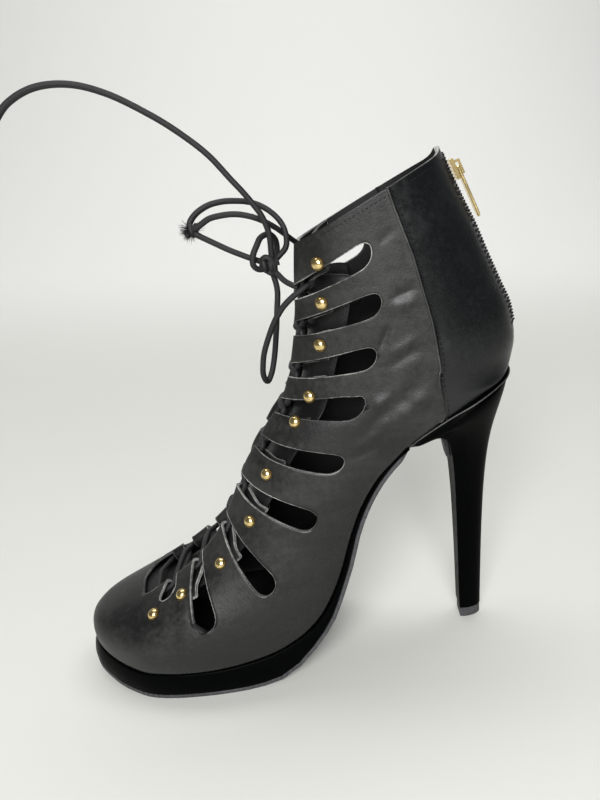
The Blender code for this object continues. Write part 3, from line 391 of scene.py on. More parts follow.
# Lace: the source's routes, in millimetres, with their ends drawn further into the knot and the tip
LACE = 2.4 * MM
KNOT = np.array((84.3, 4, 182.6)) * MM
ROUTES = {
    "lace_end_long": ((83, 4.8, 186), (83, 6.5, 195), (85, 8, 202), (88, 9, 207), (91.5, 10, 211.8),
                      (95, 10.5, 216), (102, 11, 224.5), (111, 11.5, 232), (120.5, 12, 238.2), (133, 12, 244.5),
                      (145, 12, 247.5), (157, 11, 246.5), (167, 10, 241.5), (174, 9, 234)),
    "lace_loop_front": ((83.4, 3.6, 183), (80, 2.8, 186.2), (77.2, 2, 189.5), (76.8, 1, 194), (78.2, 0, 198.6),
                        (81.5, -1, 202.6), (86, -2, 205.6), (91, -3, 207.2), (96, -3, 207.6), (101, -3, 207.4),
                        (106, -2, 206.2), (110.2, -1, 203.8), (112.8, -.4, 201.2), (113.9, .8, 198.6),
                        (112.2, 2.2, 197.2), (109.2, 3.2, 198.9), (105.5, 4, 201.2), (100.5, 5, 202.4),
                        (95.5, 5.2, 202.8), (90.3, 5, 202), (85.6, 3.6, 200.2), (81.2, .6, 197.4),
                        (77.6, -3.4, 194.2), (74.8, -7.4, 191.4), (72.6, -10.6, 189.4)),
    "lace_end_short": ((85.8, 4.2, 183.3), (88.8, 4.4, 184.6), (92.5, 4.6, 186), (99.4, 4.4, 189),
                       (106.6, 3.4, 192.6), (110.6, 2.4, 194.6), (112.6, 1.6, 196)),
    "lace_loop_small": ((85.6, 5.4, 181.2), (88.4, 7.3, 181.3), (90.1, 8.6, 183.2), (89.8, 8.6, 187),
                        (88.2, 7.4, 190.6), (86.6, 4, 193.6), (83.6, 1, 194.6), (81.6, -1.4, 192.6),
                        (81.2, -2.9, 189), (81.7, -2, 186.6), (83.1, .15, 183.9)),
    "lace_loop_hanging": ((83.4, 2.9, 179.4), (82.2, 2.8, 172), (83.2, 2.4, 163), (84.4, 2, 154), (86, 1.8, 144),
                          (87.8, 2.6, 136.6), (89.8, 4.2, 133), (91, 6, 136.4), (90.6, 7.4, 141.4),
                          (89.4, 8.6, 147), (87, 10.4, 153.4), (83.8, 12.6, 160.4), (79.8, 14.6, 166.6),
                          (75.4, 15.8, 171), (71.2, 15.6, 174), (68.6, 13.6, 175.6)),
    "lace_tie": ((81.8, 5.2, 179.5), (78.6, 7.4, 176.4), (75.4, 9.6, 174.8), (73, 11.2, 173.8)),
}


def make_knot():
    """The knot: turns of cord wound round the strands, with one turn across them."""
    bm = bmesh.new()
    turns = 2.6
    places = np.linspace(0, 1, 60)
    wound = [KNOT + np.array(((t - .5) * 6.6, 2.5 * math.cos(turns * math.tau * t),
                              2.4 * math.sin(turns * math.tau * t))) * MM for t in places]
    tube(bm, np.array(wound), LACE / 2, 10)
    across = [KNOT + np.array((2.2 * math.cos(math.tau * t), 1.6 + .9 * math.sin(math.tau * t),
                               3.3 * math.sin(math.tau * t + .4))) * MM for t in np.linspace(0, .93, 36)]
    tube(bm, np.array(across), LACE / 2, 10)
    core = bmesh.ops.create_icosphere(bm, subdivisions=2, radius=2.1 * MM)["verts"]
    bmesh.ops.translate(bm, verts=core, vec=Vector(KNOT))
    piece = finish_mesh("lace_knot_wraps", bm, [CORD], 0, welded=0)
    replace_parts(piece, "lace_knot")
    return piece


def make_tuft():
    """The small tip knot on the front loop, with its frayed fibres."""
    bm = bmesh.new()
    centre = np.array((113.0, 1.0, 196.6)) * MM
    wound = [centre + np.array(((t - .5) * 4.2, 1.6 * math.cos(1.9 * math.tau * t),
                                1.9 * math.sin(1.9 * math.tau * t))) * MM for t in np.linspace(0, 1, 36)]
    tube(bm, np.array(wound), LACE * .46, 8)
    chance = random.Random(7)
    for _ in range(240):
        out = Vector((chance.gauss(.5, .6), chance.gauss(0, .5), chance.gauss(-.35, .55))).normalized()
        long = chance.uniform(2.0, 4.8) * MM
        turn = out.to_track_quat("Z", "Y").to_matrix().to_4x4()
        shift = Matrix.Translation(Vector(centre) + out * (long / 2 + .9 * MM))
        bmesh.ops.create_cone(bm, cap_ends=True, segments=4, radius1=.11 * MM, radius2=.03 * MM, depth=long,
                              matrix=shift @ turn)
    return finish_mesh("lace_tip_tuft", bm, [CORD], 0, welded=0)


def make_cords():
    pieces, lengths, paths = {}, {}, {}
    for name, route in ROUTES.items():
        points, length = curve_through(np.array(route) * MM, .8 * MM)
        bm = bmesh.new()
        tube(bm, points, LACE / 2)
        piece = finish_mesh(name + "_braid", bm, [CORD], 60)
        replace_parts(piece, name)
        pieces[name], lengths[name], paths[name] = piece, length, points
    knot, tuft = make_knot(), make_tuft()
    facts = {
        "lace_end_long": ("bare", [knot]),
        "lace_loop_front": ("object", [tuft, pieces["lace_end_short"]]),
        "lace_loop_small": ("knot", []),
        "lace_loop_hanging": ("object", [pieces["lace_tie"]]),
    }
    for name, (end, others) in facts.items():
        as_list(others)
    return lengths


print("cord lengths", {name: round(length, 4) for name, length in make_cords().items()})


# The last and the named sizes, as in the source
REACH, SEAT_OVERHANG, SEAT_HEIGHT = 198 * MM, 18 * MM, 134.5 * MM
SHAFT_HEIGHT, PLATFORM, BALL_WIDTH = 92 * MM, 12.5 * MM, 78 * MM
WALL, GAP, FEATHER_INSET = 1.4 * MM, .3 * MM, 1 * MM
OUTSOLE, INSOLE, INSOLE_CLEAR = 1.8 * MM, 1.8 * MM, 1.3 * MM
TIP_DEPTH, TIP_WIDTH, TIP_BACK, TOP_LIFT, HEEL_WING = 11.8 * MM, 11.4 * MM, 5.7 * MM, 5.2 * MM, 31 * MM
TAB_LOOP, TAB_TAIL, TAB_REACH = 3.3 * MM, 4 * MM, 30 * MM
SLIT_MOUTH, SLIT_WIDTH, SLIT_REACH = 6.4 * MM, 10 * MM, 55 * MM
RIVET_RADIUS, RIVET_HEIGHT = 2.8 * MM, 1.9 * MM
TONGUE, TONGUE_DEPTH, TONGUE_SIDE_DEPTH = 1.6 * MM, 7.5 * MM, 5 * MM
ZIP_SLOT, COUNTER_STEP, SEAM_LIP = 5.6 * MM, .7 * MM, .35 * MM
JOIN_INSET, JOIN_DEPTH, SEAT_RISE, SEAT_SUNK = -.25 * MM, .12 * MM, .8 * MM, .2 * MM

# Sections from the toe to the collar. Shares of the reach and the height of the keel point and the crest point,
# then half widths of the sole, outer and inner, and of the upper, outer and inner, as shares of half the ball's
# width, then where the widest place lies up the section, the crest's offset, how square it is, and the stack
SECTIONS = (
    (1.000, 0.041, 1.008, 0.078, -.15, .15, -.15, .15, .40, -.15, 2.20, .88),
    (.991, 0.037, 1.000, 0.102, .13, .38, .13, .38, .35, -.15, 2.20, .90),
    (.970, 0.030, 0.977, 0.134, .37, .58, .38, .58, .30, -.15, 2.20, .94),
    (.929, 0.019, 0.937, 0.168, .60, .73, .62, .74, .27, -.14, 2.20, .98),
    (.884, 0.009, 0.881, 0.209, .78, .85, .79, .86, .25, -.13, 2.20, 1.01),
    (.838, 0.004, 0.828, 0.258, .90, .92, .91, .94, .23, -.12, 2.20, 1.03),
    (.768, 0.001, 0.789, 0.302, .97, .97, .99, .98, .22, -.10, 2.25, 1.03),
    (.694, 0.004, 0.750, 0.352, .99, .96, 1.01, .98, .22, -.09, 2.30, 1.06),
    (.591, 0.027, 0.715, 0.414, .95, .90, .97, .93, .24, -.08, 2.30, 1.18),
    (.480, 0.117, 0.684, 0.484, .86, .71, .90, .79, .28, -.08, 2.35, .60),
    (.419, 0.283, 0.661, 0.557, .76, .58, .82, .73, .32, -.08, 2.40, .37),
    (.379, 0.480, 0.636, 0.634, .67, .50, .77, .71, .35, -.08, 2.40, .34),
    (.338, 0.611, 0.613, 0.709, .64, .50, .75, .70, .37, -.06, 2.40, .32),
    (.290, 0.713, 0.583, 0.784, .64, .54, .74, .71, .38, -.05, 2.40, .31),
    (.202, 0.828, 0.560, 0.847, .69, .65, .75, .73, .38, -.05, 2.45, .30),
    (.116, 0.906, 0.549, 0.871, .69, .69, .76, .74, .38, -.04, 2.50, .30),
    (.061, 0.952, 0.544, 0.886, .60, .60, .76, .74, .38, -.04, 2.50, .30),
    (.025, 0.980, 0.540, 0.899, .45, .45, .76, .74, .38, -.04, 2.50, .30),
    (.007, 0.995, 0.537, 0.909, .23, .23, .76, .74, .38, -.04, 2.50, .30),
    (.000, 1.000, 0.534, 0.919, .00, .00, .76, .74, .38, -.04, 2.50, .30),
    (-.018, 1.136, 0.517, 0.985, .00, .00, .75, .74, .40, -.03, 2.50, .30),
    (-.007, 1.288, 0.503, 1.075, .00, .00, .74, .74, .42, -.03, 2.55, .30),
    (.020, 1.418, 0.493, 1.171, .00, .00, .73, .73, .43, -.01, 2.60, .30),
    (.051, 1.560, 0.487, 1.265, .00, .00, .72, .72, .44, .00, 2.60, .30),
    (.077, 1.685, 0.482, 1.355, .00, .00, .71, .71, .45, .00, 2.60, .30),
    (.106, 1.804, 0.479, 1.440, .00, .00, .71, .71, .46, .00, 2.60, .30),
    (.131, 1.913, 0.475, 1.530, .00, .00, .71, .71, .47, .00, 2.60, .30),
    (.149, 2.000, 0.471, 1.609, .00, .00, .71, .71, .48, .00, 2.60, .30),
)
COLLAR, SEAT_BACK = len(SECTIONS) - 1, 19
TABS = ((25.45, .46, .95), (23.65, .47, .97), (21.85, .44, .96), (19.60, .45, .94), (15.20, .38, .90),
        (12.10, .38, .95), (10.30, .52, 1.05), (8.45, .57, 1.03), (6.55, .58, 1.03), (5.10, .60, 1.06))
SLITS = ((24.55, 24.95, .95), (22.75, 22.90, 1.00), (20.75, 20.90, .99), (18.30, 17.00, 1.00),
         (13.05, 12.90, 1.04), (11.15, 10.95, 1.06), (9.40, 9.10, 1.04), (7.40, 7.25, .96), (5.80, 5.70, .52))
THROAT_FRONT, ZIP_END = 4.35, 20.3
INNER_REACH = ((5.7, 1), (7.25, .75), (10.9, .60), (20.9, .62), (22.9, 1))
MOUTH_STEPS = (0, .22, .42, .60, .74, .84, .91, .96, .985, 1)
LOWER_STEPS = (.2, .4, .6, .8, .96, 1)
COUNTER_STEPS = (.010, .03, .14, .28, .42, .56, .70, .84, .96, 1)
FOLD_ANGLES = (18, 42, 72, 105, 140, 180)
FOLD_LEAD, FOLD_NEAR = 5 * MM, MM
# Shares of half a section's girth: how far folds and slits may go, and where the seam lies
FOLD_MOST, REACH_MOST, TOE_REACH, TOE_SEAM, SEAM_MOST, SEAM_CLEAR = .33, .82, .58, .955, .975, .03
SOLE_SPREAD, COLLAR_BAND, AT_SEAM, EARLY = .13, .22, .85, 1.6
COUNTER_SEAM = ((14.3, .985), (15.2, .86), (16.55, .742), (17.43, .705), (19.5, .608), (20.3, .601),
                (21.5, .597), (24.5, .60), (27, .585))


def level(share):
    """A height share in metres: up to 1 from the platform to the seat, then up the shaft."""
    if share <= 1:
        return PLATFORM + share * (SEAT_HEIGHT - PLATFORM)
    return SEAT_HEIGHT + (share - 1) * SHAFT_HEIGHT


def real_row(row):
    half = BALL_WIDTH / 2
    return (row[0] * REACH - SEAT_OVERHANG, level(row[1]), row[2] * REACH - SEAT_OVERHANG, level(row[3]),
            *(w * half for w in row[4:8]), row[8], row[9] * half, row[10], row[11] * PLATFORM)


REAL = np.array([real_row(row) for row in SECTIONS])


def row_slopes():
    """Slopes between the sections that never overshoot."""
    change = np.diff(REAL, axis=0)
    slopes = np.zeros_like(REAL)
    slopes[0], slopes[-1] = change[0], change[-1]
    before, after = change[:-1], change[1:]
    same = before * after > 0
    slopes[1:-1] = np.where(same, 2 * before * after / np.where(same, before + after, 1.0), 0.0)
    return slopes


SLOPES = row_slopes()


@lru_cache(maxsize=None)
def section_at(u):
    """The section's lengths at a place along the fan."""
    u = min(max(u, 0.0), len(REAL) - 1.0)
    i = min(int(u), len(REAL) - 2)
    t = u - i
    bend = (2 * t ** 3 - 3 * t ** 2 + 1) * REAL[i] + (3 * t ** 2 - 2 * t ** 3) * REAL[i + 1]
    return bend + (t ** 3 - 2 * t ** 2 + t) * SLOPES[i] + (t ** 3 - t ** 2) * SLOPES[i + 1]


@lru_cache(maxsize=None)
def section_curve(u, side):
    """Half a section from the crest to the keel, and the distance along it."""
    kx, kz, cx, cz, s_out, s_in, w_out, w_in, up, off, square, _ = section_at(u)
    crest = off * side
    sole = s_out if side == OUTER else s_in
    if u >= SEAT_BACK:
        sole = 0.0
    sole -= FEATHER_INSET * min(1.0, max(0.0, (s_out + s_in) / BALL_WIDTH))
    sole = max(sole, 0.0) if u > 1 else sole
    widest = max(w_out if side == OUTER else w_in, sole)
    angle = np.linspace(0, math.pi / 2, 60)
    top_y = crest + (widest - crest) * np.cos(angle) ** (2 / square)
    top_v = up + (1 - up) * np.sin(angle) ** (2 / square)
    low_y = sole + (widest - sole) * np.cos(angle)
    low_v = up * (1 - np.sin(angle))
    y = np.concatenate([top_y[::-1], low_y[1:]])
    v = np.concatenate([top_v[::-1], low_v[1:]])
    points = np.stack([kx + (cx - kx) * v, y * side, kz + (cz - kz) * v], 1)
    return points, run_of(points)


def girth(u, side):
    return section_curve(round(u, 4), side)[1][-1]


def skin(u, side, distance):
    points, run = section_curve(round(u, 4), side)
    return at_marks(distance, run, points)


def outward(u, side, distance):
    """The direction out of the upper's face."""
    near = min(max(distance, 1.2 * MM), girth(u, side) - 1.2 * MM)
    along = skin(min(u + .12, COLLAR), side, near) - skin(max(u - .12, 0), side, near)
    around = skin(u, side, near + 1.2 * MM) - skin(u, side, near - 1.2 * MM)
    return unit(np.cross(around, along) * side)


def face_point(u, side, distance, depth=0.0):
    point = skin(u, side, distance)
    return point - outward(u, side, distance) * depth if depth else point


def walk(u, side, distance, offset):
    """The place along the fan that lies offset further on."""
    for _ in range(6):
        span = skin(min(u + .05, COLLAR), side, distance) - skin(u - .05, side, distance)
        u += offset / 6 / np.linalg.norm(span) * .1
    return u


KEEL_U = np.linspace(0, SEAT_BACK, SEAT_BACK * 24 + 1)
KEEL_XZ = np.array([section_at(float(u))[:2] for u in KEEL_U])
KEEL_RUN = run_of(KEEL_XZ)


def sole_edge(u, side, inset):
    """Path along the keel and half width of the sole's edge, moved in by inset."""
    def edge(place):
        row = section_at(float(min(max(place, 0), SEAT_BACK)))
        return np.array([np.interp(place, KEEL_U, KEEL_RUN), row[4] if side == OUTER else row[5]])
    tangent = unit(edge(min(u + .05, SEAT_BACK)) - edge(max(u - .05, 0)))
    path, y = edge(u) + np.array([tangent[1], -tangent[0]]) * inset
    return path, y * side


def sole_point(path, y, depth):
    """A point so deep below the sole's upper face."""
    x, z = (np.interp(path, KEEL_RUN, KEEL_XZ[:, k]) for k in (0, 1))
    tangent = unit(np.array([np.interp(path - 2 * MM, KEEL_RUN, KEEL_XZ[:, k])
                             - np.interp(path + 2 * MM, KEEL_RUN, KEEL_XZ[:, k]) for k in (0, 1)]))
    return np.array([x + tangent[1] * depth, y, z - tangent[0] * depth])


def rim_point(u, side, inset, depth):
    """A point beside the sole's edge, so far in from it and so deep."""
    return sole_point(*sole_edge(u, side, inset), depth)


def stack_at(u):
    return section_at(float(u))[11]


def back_frame(u):
    """Point, outward and upward directions on the centre back line."""
    x, z = section_at(float(u))[:2]
    ahead, behind = section_at(float(min(u + .1, COLLAR)))[:2], section_at(float(u - .1))[:2]
    up = unit(np.array([ahead[0] - behind[0], 0, ahead[1] - behind[1]]))
    return np.array([x, 0, z]), np.array([-up[2], 0, up[0]]), up


# Upper

def tab_value(u, column):
    table = sorted((tab[0], tab[column]) for tab in TABS)
    return float(np.interp(u, [t[0] for t in table], [t[1] for t in table])) * TAB_REACH


def zip_gap(u):
    return float(np.interp(u, (ZIP_END, ZIP_END + .12, COLLAR), (0, ZIP_SLOT / 2, ZIP_SLOT / 2)))


def seam_share(u):
    return float(np.interp(u, *zip(*COUNTER_SEAM)))


def side_distances(u, side, fold, seam_at):
    """One line's distances from the crest: the tab and its slit, down to the seam, then the counter."""
    total = girth(u, side)
    fold = min(fold, FOLD_MOST * total)
    reach = np.interp(u, [s[1] for s in SLITS[::-1]], [s[2] for s in SLITS[::-1]]) * SLIT_REACH
    if side == INNER:
        reach *= np.interp(u, *zip(*INNER_REACH))
    reach = min(reach, REACH_MOST * total)
    if u < THROAT_FRONT:
        reach = TOE_REACH * total
    seam = (seam_share(seam_at) if u >= COUNTER_SEAM[0][0] else TOE_SEAM) * total
    seam = min(max(seam, reach + SEAM_CLEAR * total), SEAM_MOST * total)
    low = total - zip_gap(u)
    out = [fold + (reach - fold) * s for s in MOUTH_STEPS]
    out += [reach + (seam - reach) * s for s in LOWER_STEPS]
    return out + [seam + (low - seam) * s for s in COUNTER_STEPS]


def spread(low, high, count, distance, clear):
    """Places spaced evenly between two slits, clear of their edges."""
    places = np.linspace(low, high, 33)
    run = run_of([skin(float(u), OUTER, distance) for u in places])
    first = clear if low > THROAT_FRONT + .5 else 0.0
    last = clear if high < COLLAR else 0.0
    marks = [first + (run[-1] - first - last) * (k + 1) / (count + 1) for k in range(count)]
    return [float(np.interp(mark, run, places)) for mark in marks]


def fan_line(mouth, end, sole=None, edge=0):
    """A line of the grid: its places at the throat, at the slits' ends and at the sole, and its slit's side."""
    return dict(mouth=mouth, end=end, sole=end if sole is None else sole, edge=edge)


def fan_lines():
    """The lines of the upper's grid, from toe to collar."""
    lines = [fan_line(u, u) for u in (0, .35, .7, 1, 1.5, 2, 2.7, 3.5)] + [fan_line(THROAT_FRONT, 4.4)]
    bounds = [(4.7, 4.6)] + [(s[0], s[1]) for s in SLITS[::-1]] + [(COLLAR, COLLAR)]
    for i in range(len(bounds) - 1):
        (mouth_a, end_a), (mouth_b, end_b) = bounds[i], bounds[i + 1]
        slit = len(SLITS) - 1 - i
        count = {3: 6, 2: 3}.get(slit, 3)
        mouths = spread(mouth_a, mouth_b, count, SLIT_REACH / 3, SLIT_MOUTH / 2)
        ends = spread(end_a, end_b, count, SLIT_REACH, SLIT_WIDTH / 2)
        lines += [fan_line(*places) for places in zip(mouths, ends)]
        if slit < 0:
            continue
        for edge in (-1, 1):
            gap_u = (end_b - end_a if edge < 0 else bounds[i + 2][1] - end_b) * SOLE_SPREAD
            lines.append(fan_line(mouth_b, end_b, end_b + edge * gap_u, edge))
    return lines + [fan_line(u, u) for u in (COLLAR - COLLAR_BAND, COLLAR)]


def line_points(line, side):
    """Places and distances of one line, from the throat to the keel."""
    near_seam = line["end"] + AT_SEAM * (line["sole"] - line["end"])
    distances = side_distances(line["end"], side, tab_value(line["mouth"], 1), near_seam)
    last = LAST_MOUTH
    out = []
    for k, distance in enumerate(distances):
        share = MOUTH_STEPS[k] if k <= last else 1
        u = line["mouth"] + (line["end"] - line["mouth"]) * share
        if k > last:
            down = (distance - distances[last]) / (distances[-1] - distances[last])
            u = line["end"] + (line["sole"] - line["end"]) * min(1, down * EARLY)
            distance += (girth(u, side) - girth(line["end"], side)) * down
        if line["edge"] and k <= last:
            round_part = max(0.0, (distance - (distances[last] - SLIT_WIDTH / 2)) / (SLIT_WIDTH / 2))
            width = SLIT_MOUTH + (SLIT_WIDTH - SLIT_MOUTH) * min(1, share / .8)
            width *= math.sqrt(max(0.0, 1 - min(1, round_part) ** 2))
            u = walk(u, side, distance, line["edge"] * width / 2)
        out.append((u, distance))
    return out


LINES = fan_lines()
FRONT = next(i for i, line in enumerate(LINES) if line["mouth"] >= THROAT_FRONT)
BEHIND_SEAM = [line["sole"] >= COUNTER_SEAM[0][0] for line in LINES]
LAST_MOUTH = len(MOUTH_STEPS) - 1
SEAM_ROW = LAST_MOUTH + len(LOWER_STEPS)
ROWS = {side: [line_points(line, side) for line in LINES] for side in (OUTER, INNER)}
PEAK, PEAK_WIDTH = 2.4 * MM, 9 * MM


def smooth(share):
    """A soft step from 0 to 1."""
    share = min(1.0, max(0.0, share))
    return share * share * (3 - 2 * share)


def upper_point(side, i, k):
    """A point of the upper's face: sunk at the counter, raised at the seam's fold and the collar's back peak."""
    u, distance = ROWS[side][i][k]
    sunk = BEHIND_SEAM[i] and k > SEAM_ROW
    lip = BEHIND_SEAM[i] and k in (SEAM_ROW, SEAM_ROW - 1)
    point = face_point(u, side, distance, COUNTER_STEP if sunk else -SEAM_LIP if lip else 0)
    if i >= len(LINES) - 2:
        lift = PEAK * smooth(1 - (girth(u, side) - distance - ZIP_SLOT / 2) / PEAK_WIDTH)
        point = point + back_frame(COLLAR)[2] * lift * (1 if i == len(LINES) - 1 else .5)
    return point


def fold_point(side, i, k):
    """The tab's end folded round to the inside and back under its rivet."""
    line = LINES[i]
    fold = tab_value(line["mouth"], 1)
    rivet = min(TABS, key=lambda t: abs(t[0] - line["mouth"]))[2] * TAB_REACH
    u = ROWS[side][i][0][0]
    if k == 0:
        return upper_point(side, i, 0)
    if k <= len(FOLD_ANGLES):
        turn = math.radians(FOLD_ANGLES[k - 1])
        distance, depth = fold - TAB_LOOP * math.sin(turn), TAB_LOOP * (1 - math.cos(turn))
        across = unit(skin(u, side, fold + 2 * MM) - skin(u, side, fold))
        return skin(u, side, fold) + across * (distance - fold) - outward(u, side, fold) * depth
    flat = WALL + GAP + WALL
    distance, depth = ((rivet - FOLD_LEAD, (flat + 2 * TAB_LOOP) / 2), (rivet - FOLD_NEAR, flat),
                       (rivet + TAB_TAIL, flat))[k - len(FOLD_ANGLES) - 1]
    return face_point(u, side, distance, depth)


# Creases: side, then start and end as (place along the fan, mm from the crest), width and depth in mm; below 0
# is a trough
CREASES = (
    (OUTER, (14.0, 59.5), (19.9, 74.0), 3.4, -1.5), (OUTER, (15.3, 58.0), (20.2, 69.5), 3.4, 1.0),
    (OUTER, (13.8, 70.0), (19.4, 83.0), 4.2, .9), (OUTER, (21.1, 54.8), (22.1, 58.5), 1.3, -.7),
    (OUTER, (20.8, 58.0), (21.3, 72.0), 2.1, .55), (OUTER, (20.4, 58.5), (20.9, 73.5), 1.9, -.7),
    (OUTER, (22.9, 57.5), (23.0, 70.0), 1.5, -.6), (OUTER, (22.6, 57.5), (22.5, 71.0), 1.8, .45),
    (OUTER, (17.2, 55.5), (19.0, 56.8), 1.4, -.6), (OUTER, (17.8, 56.5), (19.4, 64.5), 2.0, .5),
    (OUTER, (25.1, 54.5), (25.3, 63.0), 1.4, -.4), (OUTER, (13.1, 58.0), (13.6, 69.0), 1.7, -.55),
    (OUTER, (13.5, 58.0), (14.2, 68.0), 1.9, .4), (OUTER, (11.2, 58.5), (11.5, 70.0), 1.8, -.5),
    (OUTER, (9.2, 58.5), (9.6, 70.0), 1.9, -.45), (INNER, (21.0, 46.0), (21.4, 60.0), 2.2, -.6),
    (INNER, (14.4, 62.0), (19.6, 74.0), 3.4, -1.0),
)


def crease_height(sides, places):
    """The sum of the listed creases at points of the surface."""
    total = np.zeros(len(places))
    for side, (ua, da), (ub, db), width, depth in CREASES:
        path = [skin(ua + (ub - ua) * t, side, (da + (db - da) * t) * MM) for t in (0, .25, .5, .75, 1)]
        best, along = np.full(len(places), 1.0), np.zeros(len(places))
        for k in range(4):
            run = path[k + 1] - path[k]
            t = np.clip((places - path[k]) @ run / (run @ run), 0, 1)
            away = np.linalg.norm(places - path[k] - t[:, None] * run, axis=1)
            along = np.where(away < best, (k + t) / 4, along)
            best = np.minimum(best, away)
        fade = np.clip(np.minimum(along, 1 - along) / .3, .12, 1)
        total += np.where(sides == side, depth * MM * fade * np.exp(-(best / (width * MM)) ** 2), 0)
    return total


def chart_at(side, i, k):
    """The upper's UV map: the place along the fan and the distance from the crest, below 0 on the inner side."""
    u, distance = ROWS[side][i][k]
    return u / CHART_PLACES, distance / CHART_WIDTH * side


def make_upper():
    """The upper's face as a grid with slits, folded tabs and a toe, subdivided."""
    bm = bmesh.new()
    for side in (OUTER, INNER):
        count = len(ROWS[side][0]) - 1
        spots = patch(bm, len(LINES) - 1, count, lambda i, k: upper_point(side, i, k),
                      lambda i, k: chart_at(side, i, k))

        def face_at(i, k):
            return next(f for f in spots[(i, k)].link_faces if spots[(i + 1, k + 1)] in f.verts)
        for i, k in spots:
            if k < count and i < len(LINES) - 1:
                face_at(i, k).material_index = 1 if k >= SEAM_ROW and BEHIND_SEAM[i] else 0
        open_slit = [i for i in range(len(LINES) - 1) if LINES[i]["edge"] == -1 and LINES[i + 1]["edge"] == 1]
        gone = [face_at(i, k) for i in open_slit for k in range(LAST_MOUTH)]
        bmesh.ops.delete(bm, geom=gone, context="FACES")
        starts = [FRONT + 1] + [i + 1 for i in open_slit]
        ends = open_slit + [len(LINES) - 1]
        for first, last in zip(starts, ends):
            patch(bm, last - first, len(FOLD_ANGLES) + 3, lambda i, k: fold_point(side, first + i, k),
                  lambda i, k: chart_at(side, first + i, 0))

    def top(i, k):
        line, half = LINES[i], 3
        side = OUTER if k <= half else INNER
        share = abs(k - half) / half
        if share == 1:
            return upper_point(side, i, 0)
        dip = .35 if i == FRONT else 0.0
        return face_point(line["mouth"] - dip * (1 - share), side, ROWS[side][i][0][1] * share)
    patch(bm, FRONT, 6, top, lambda i, k: (LINES[i]["mouth"] / CHART_PLACES, 0))
    crease = bm.edges.layers.float.new("crease_edge")
    bmesh.ops.remove_doubles(bm, verts=bm.verts, dist=.00003)
    for edge in bm.edges:
        kinds = {f.material_index for f in edge.link_faces}
        edge[crease] = .7 if len(kinds) > 1 else 0
    cage = finish_mesh("upper_cage", bm, [LEATHER, COUNTER, EDGE, EDGE, LINING, LINING], 0)
    softened(cage, 2).boundary_smooth = "PRESERVE_CORNERS"
    shaped = bpy.data.meshes.new_from_object(cage.evaluated_get(bpy.context.evaluated_depsgraph_get()))
    bpy.data.objects.remove(cage)
    return crease_upper(shaped)


def read_out(items, field, width, kind=float):
    """A field of many mesh parts as rows of numbers."""
    values = np.zeros(len(items) * width, kind)
    items.foreach_get(field, values)
    return values.reshape(-1, width)


def crease_upper(mesh):
    """Lays the creases into the fine face, then gives it its wall."""
    mesh.name = "upper_leather"
    place = read_out(mesh.vertices, "co", 3)
    spot = np.zeros((len(place), 2))
    spot[read_out(mesh.loops, "vertex_index", 1, int)[:, 0]] = read_out(mesh.uv_layers[0].data, "uv", 2)
    height = crease_height(np.sign(spot[:, 1]), place)
    place += read_out(mesh.vertices, "normal", 3) * height[:, None]
    mesh.vertices.foreach_set("co", place.ravel())
    piece = linked("upper_leather", mesh)
    wall = piece.modifiers.new("wall", "SOLIDIFY")
    wall.thickness = WALL
    wall.offset = -1
    wall.use_rim = True
    wall.material_offset_rim = 2
    wall.material_offset = 4
    mesh.shade_smooth()
    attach(piece, SHOE)
    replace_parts(piece, "upper")
    return piece


UPPER = make_upper()


def face_tree():
    face = bmesh.new()
    face.from_mesh(UPPER.data)
    tree = BVHTree.FromBMesh(face)
    face.free()
    return tree


FACE = face_tree()


def cut_edge_chains():
    """The open edges of the tabs and slits as ordered runs of mesh points."""
    face = bmesh.new()
    face.from_mesh(UPPER.data)
    layer = face.loops.layers.uv.verify()
    spot = {}
    for f in face.faces:
        for loop in f.loops:
            spot[loop.vert] = loop[layer].uv.copy()
    near = {}
    for edge in face.edges:
        if not edge.is_boundary:
            continue
        places = [(spot[v].x * CHART_PLACES, abs(spot[v].y) * CHART_WIDTH, OUTER if spot[v].y > 0 else INNER)
                  for v in edge.verts]
        if all(d < .75 * girth(min(u, COLLAR), side) and u < COLLAR - .05 for u, d, side in places):
            for a, b in (tuple(edge.verts), tuple(edge.verts)[::-1]):
                near.setdefault(a, []).append(b)
    chains, used = [], set()
    starts = [v for v in near if len(near[v]) == 1] + list(near)
    for start in starts:
        if start in used:
            continue
        chain, here = [start], start
        used.add(start)
        while True:
            ahead = [v for v in near[here] if v not in used]
            if not ahead:
                break
            here = ahead[0]
            used.add(here)
            chain.append(here)
        if len(chain) > 6:
            chains.append(np.array([v.co - v.normal * .00008 for v in chain]))
    face.free()
    return chains


def make_cut_edges():
    """The pale raw edge of the leather, a little frayed; its pale colour is partly the raw fibres and partly a
    painted highlight along the cut.
    """
    chance = random.Random(11)
    bm = bmesh.new()
    for chain in cut_edge_chains():
        points, _ = curve_through(chain[::2], .45 * MM)
        points = points + np.array([[chance.gauss(0, .035 * MM) for _ in range(3)] for _ in points])
        tube(bm, points, .2 * MM, 5)
    finish_mesh("upper_cut_edge", bm, [EDGE], 0, welded=0)


make_cut_edges()


# Tongue
TONGUE_ROWS = (
    (3.55, .66, .30), (4.10, .70, .34), (4.75, .76, 1.0), (5.8, .84, 1.0), (7.2, .95, 1.0), (8.3, 1.02, 1.0),
    (9.3, 1.08, 1.0), (10.3, 1.12, 1.0), (11.2, 1.14, 1.0), (12.2, 1.13, 1.02), (13.2, 1.12, 1.04),
    (14.5, 1.13, 1.08), (15.8, 1.16, 1.14), (17.0, 1.17, 1.18), (18.3, 1.18, 1.18), (19.5, 1.18, 1.10),
    (20.7, 1.18, 1.04), (21.8, 1.26, 1.02), (22.8, 1.34, 1.0), (24.3, 1.40, 1.0),
)
TONGUE_TOP, TONGUE_HEM = 1.1, .30 * MM
TONGUE_SHARES = (0, .17, .35, .55, .75, .885, .90, .97, 1)


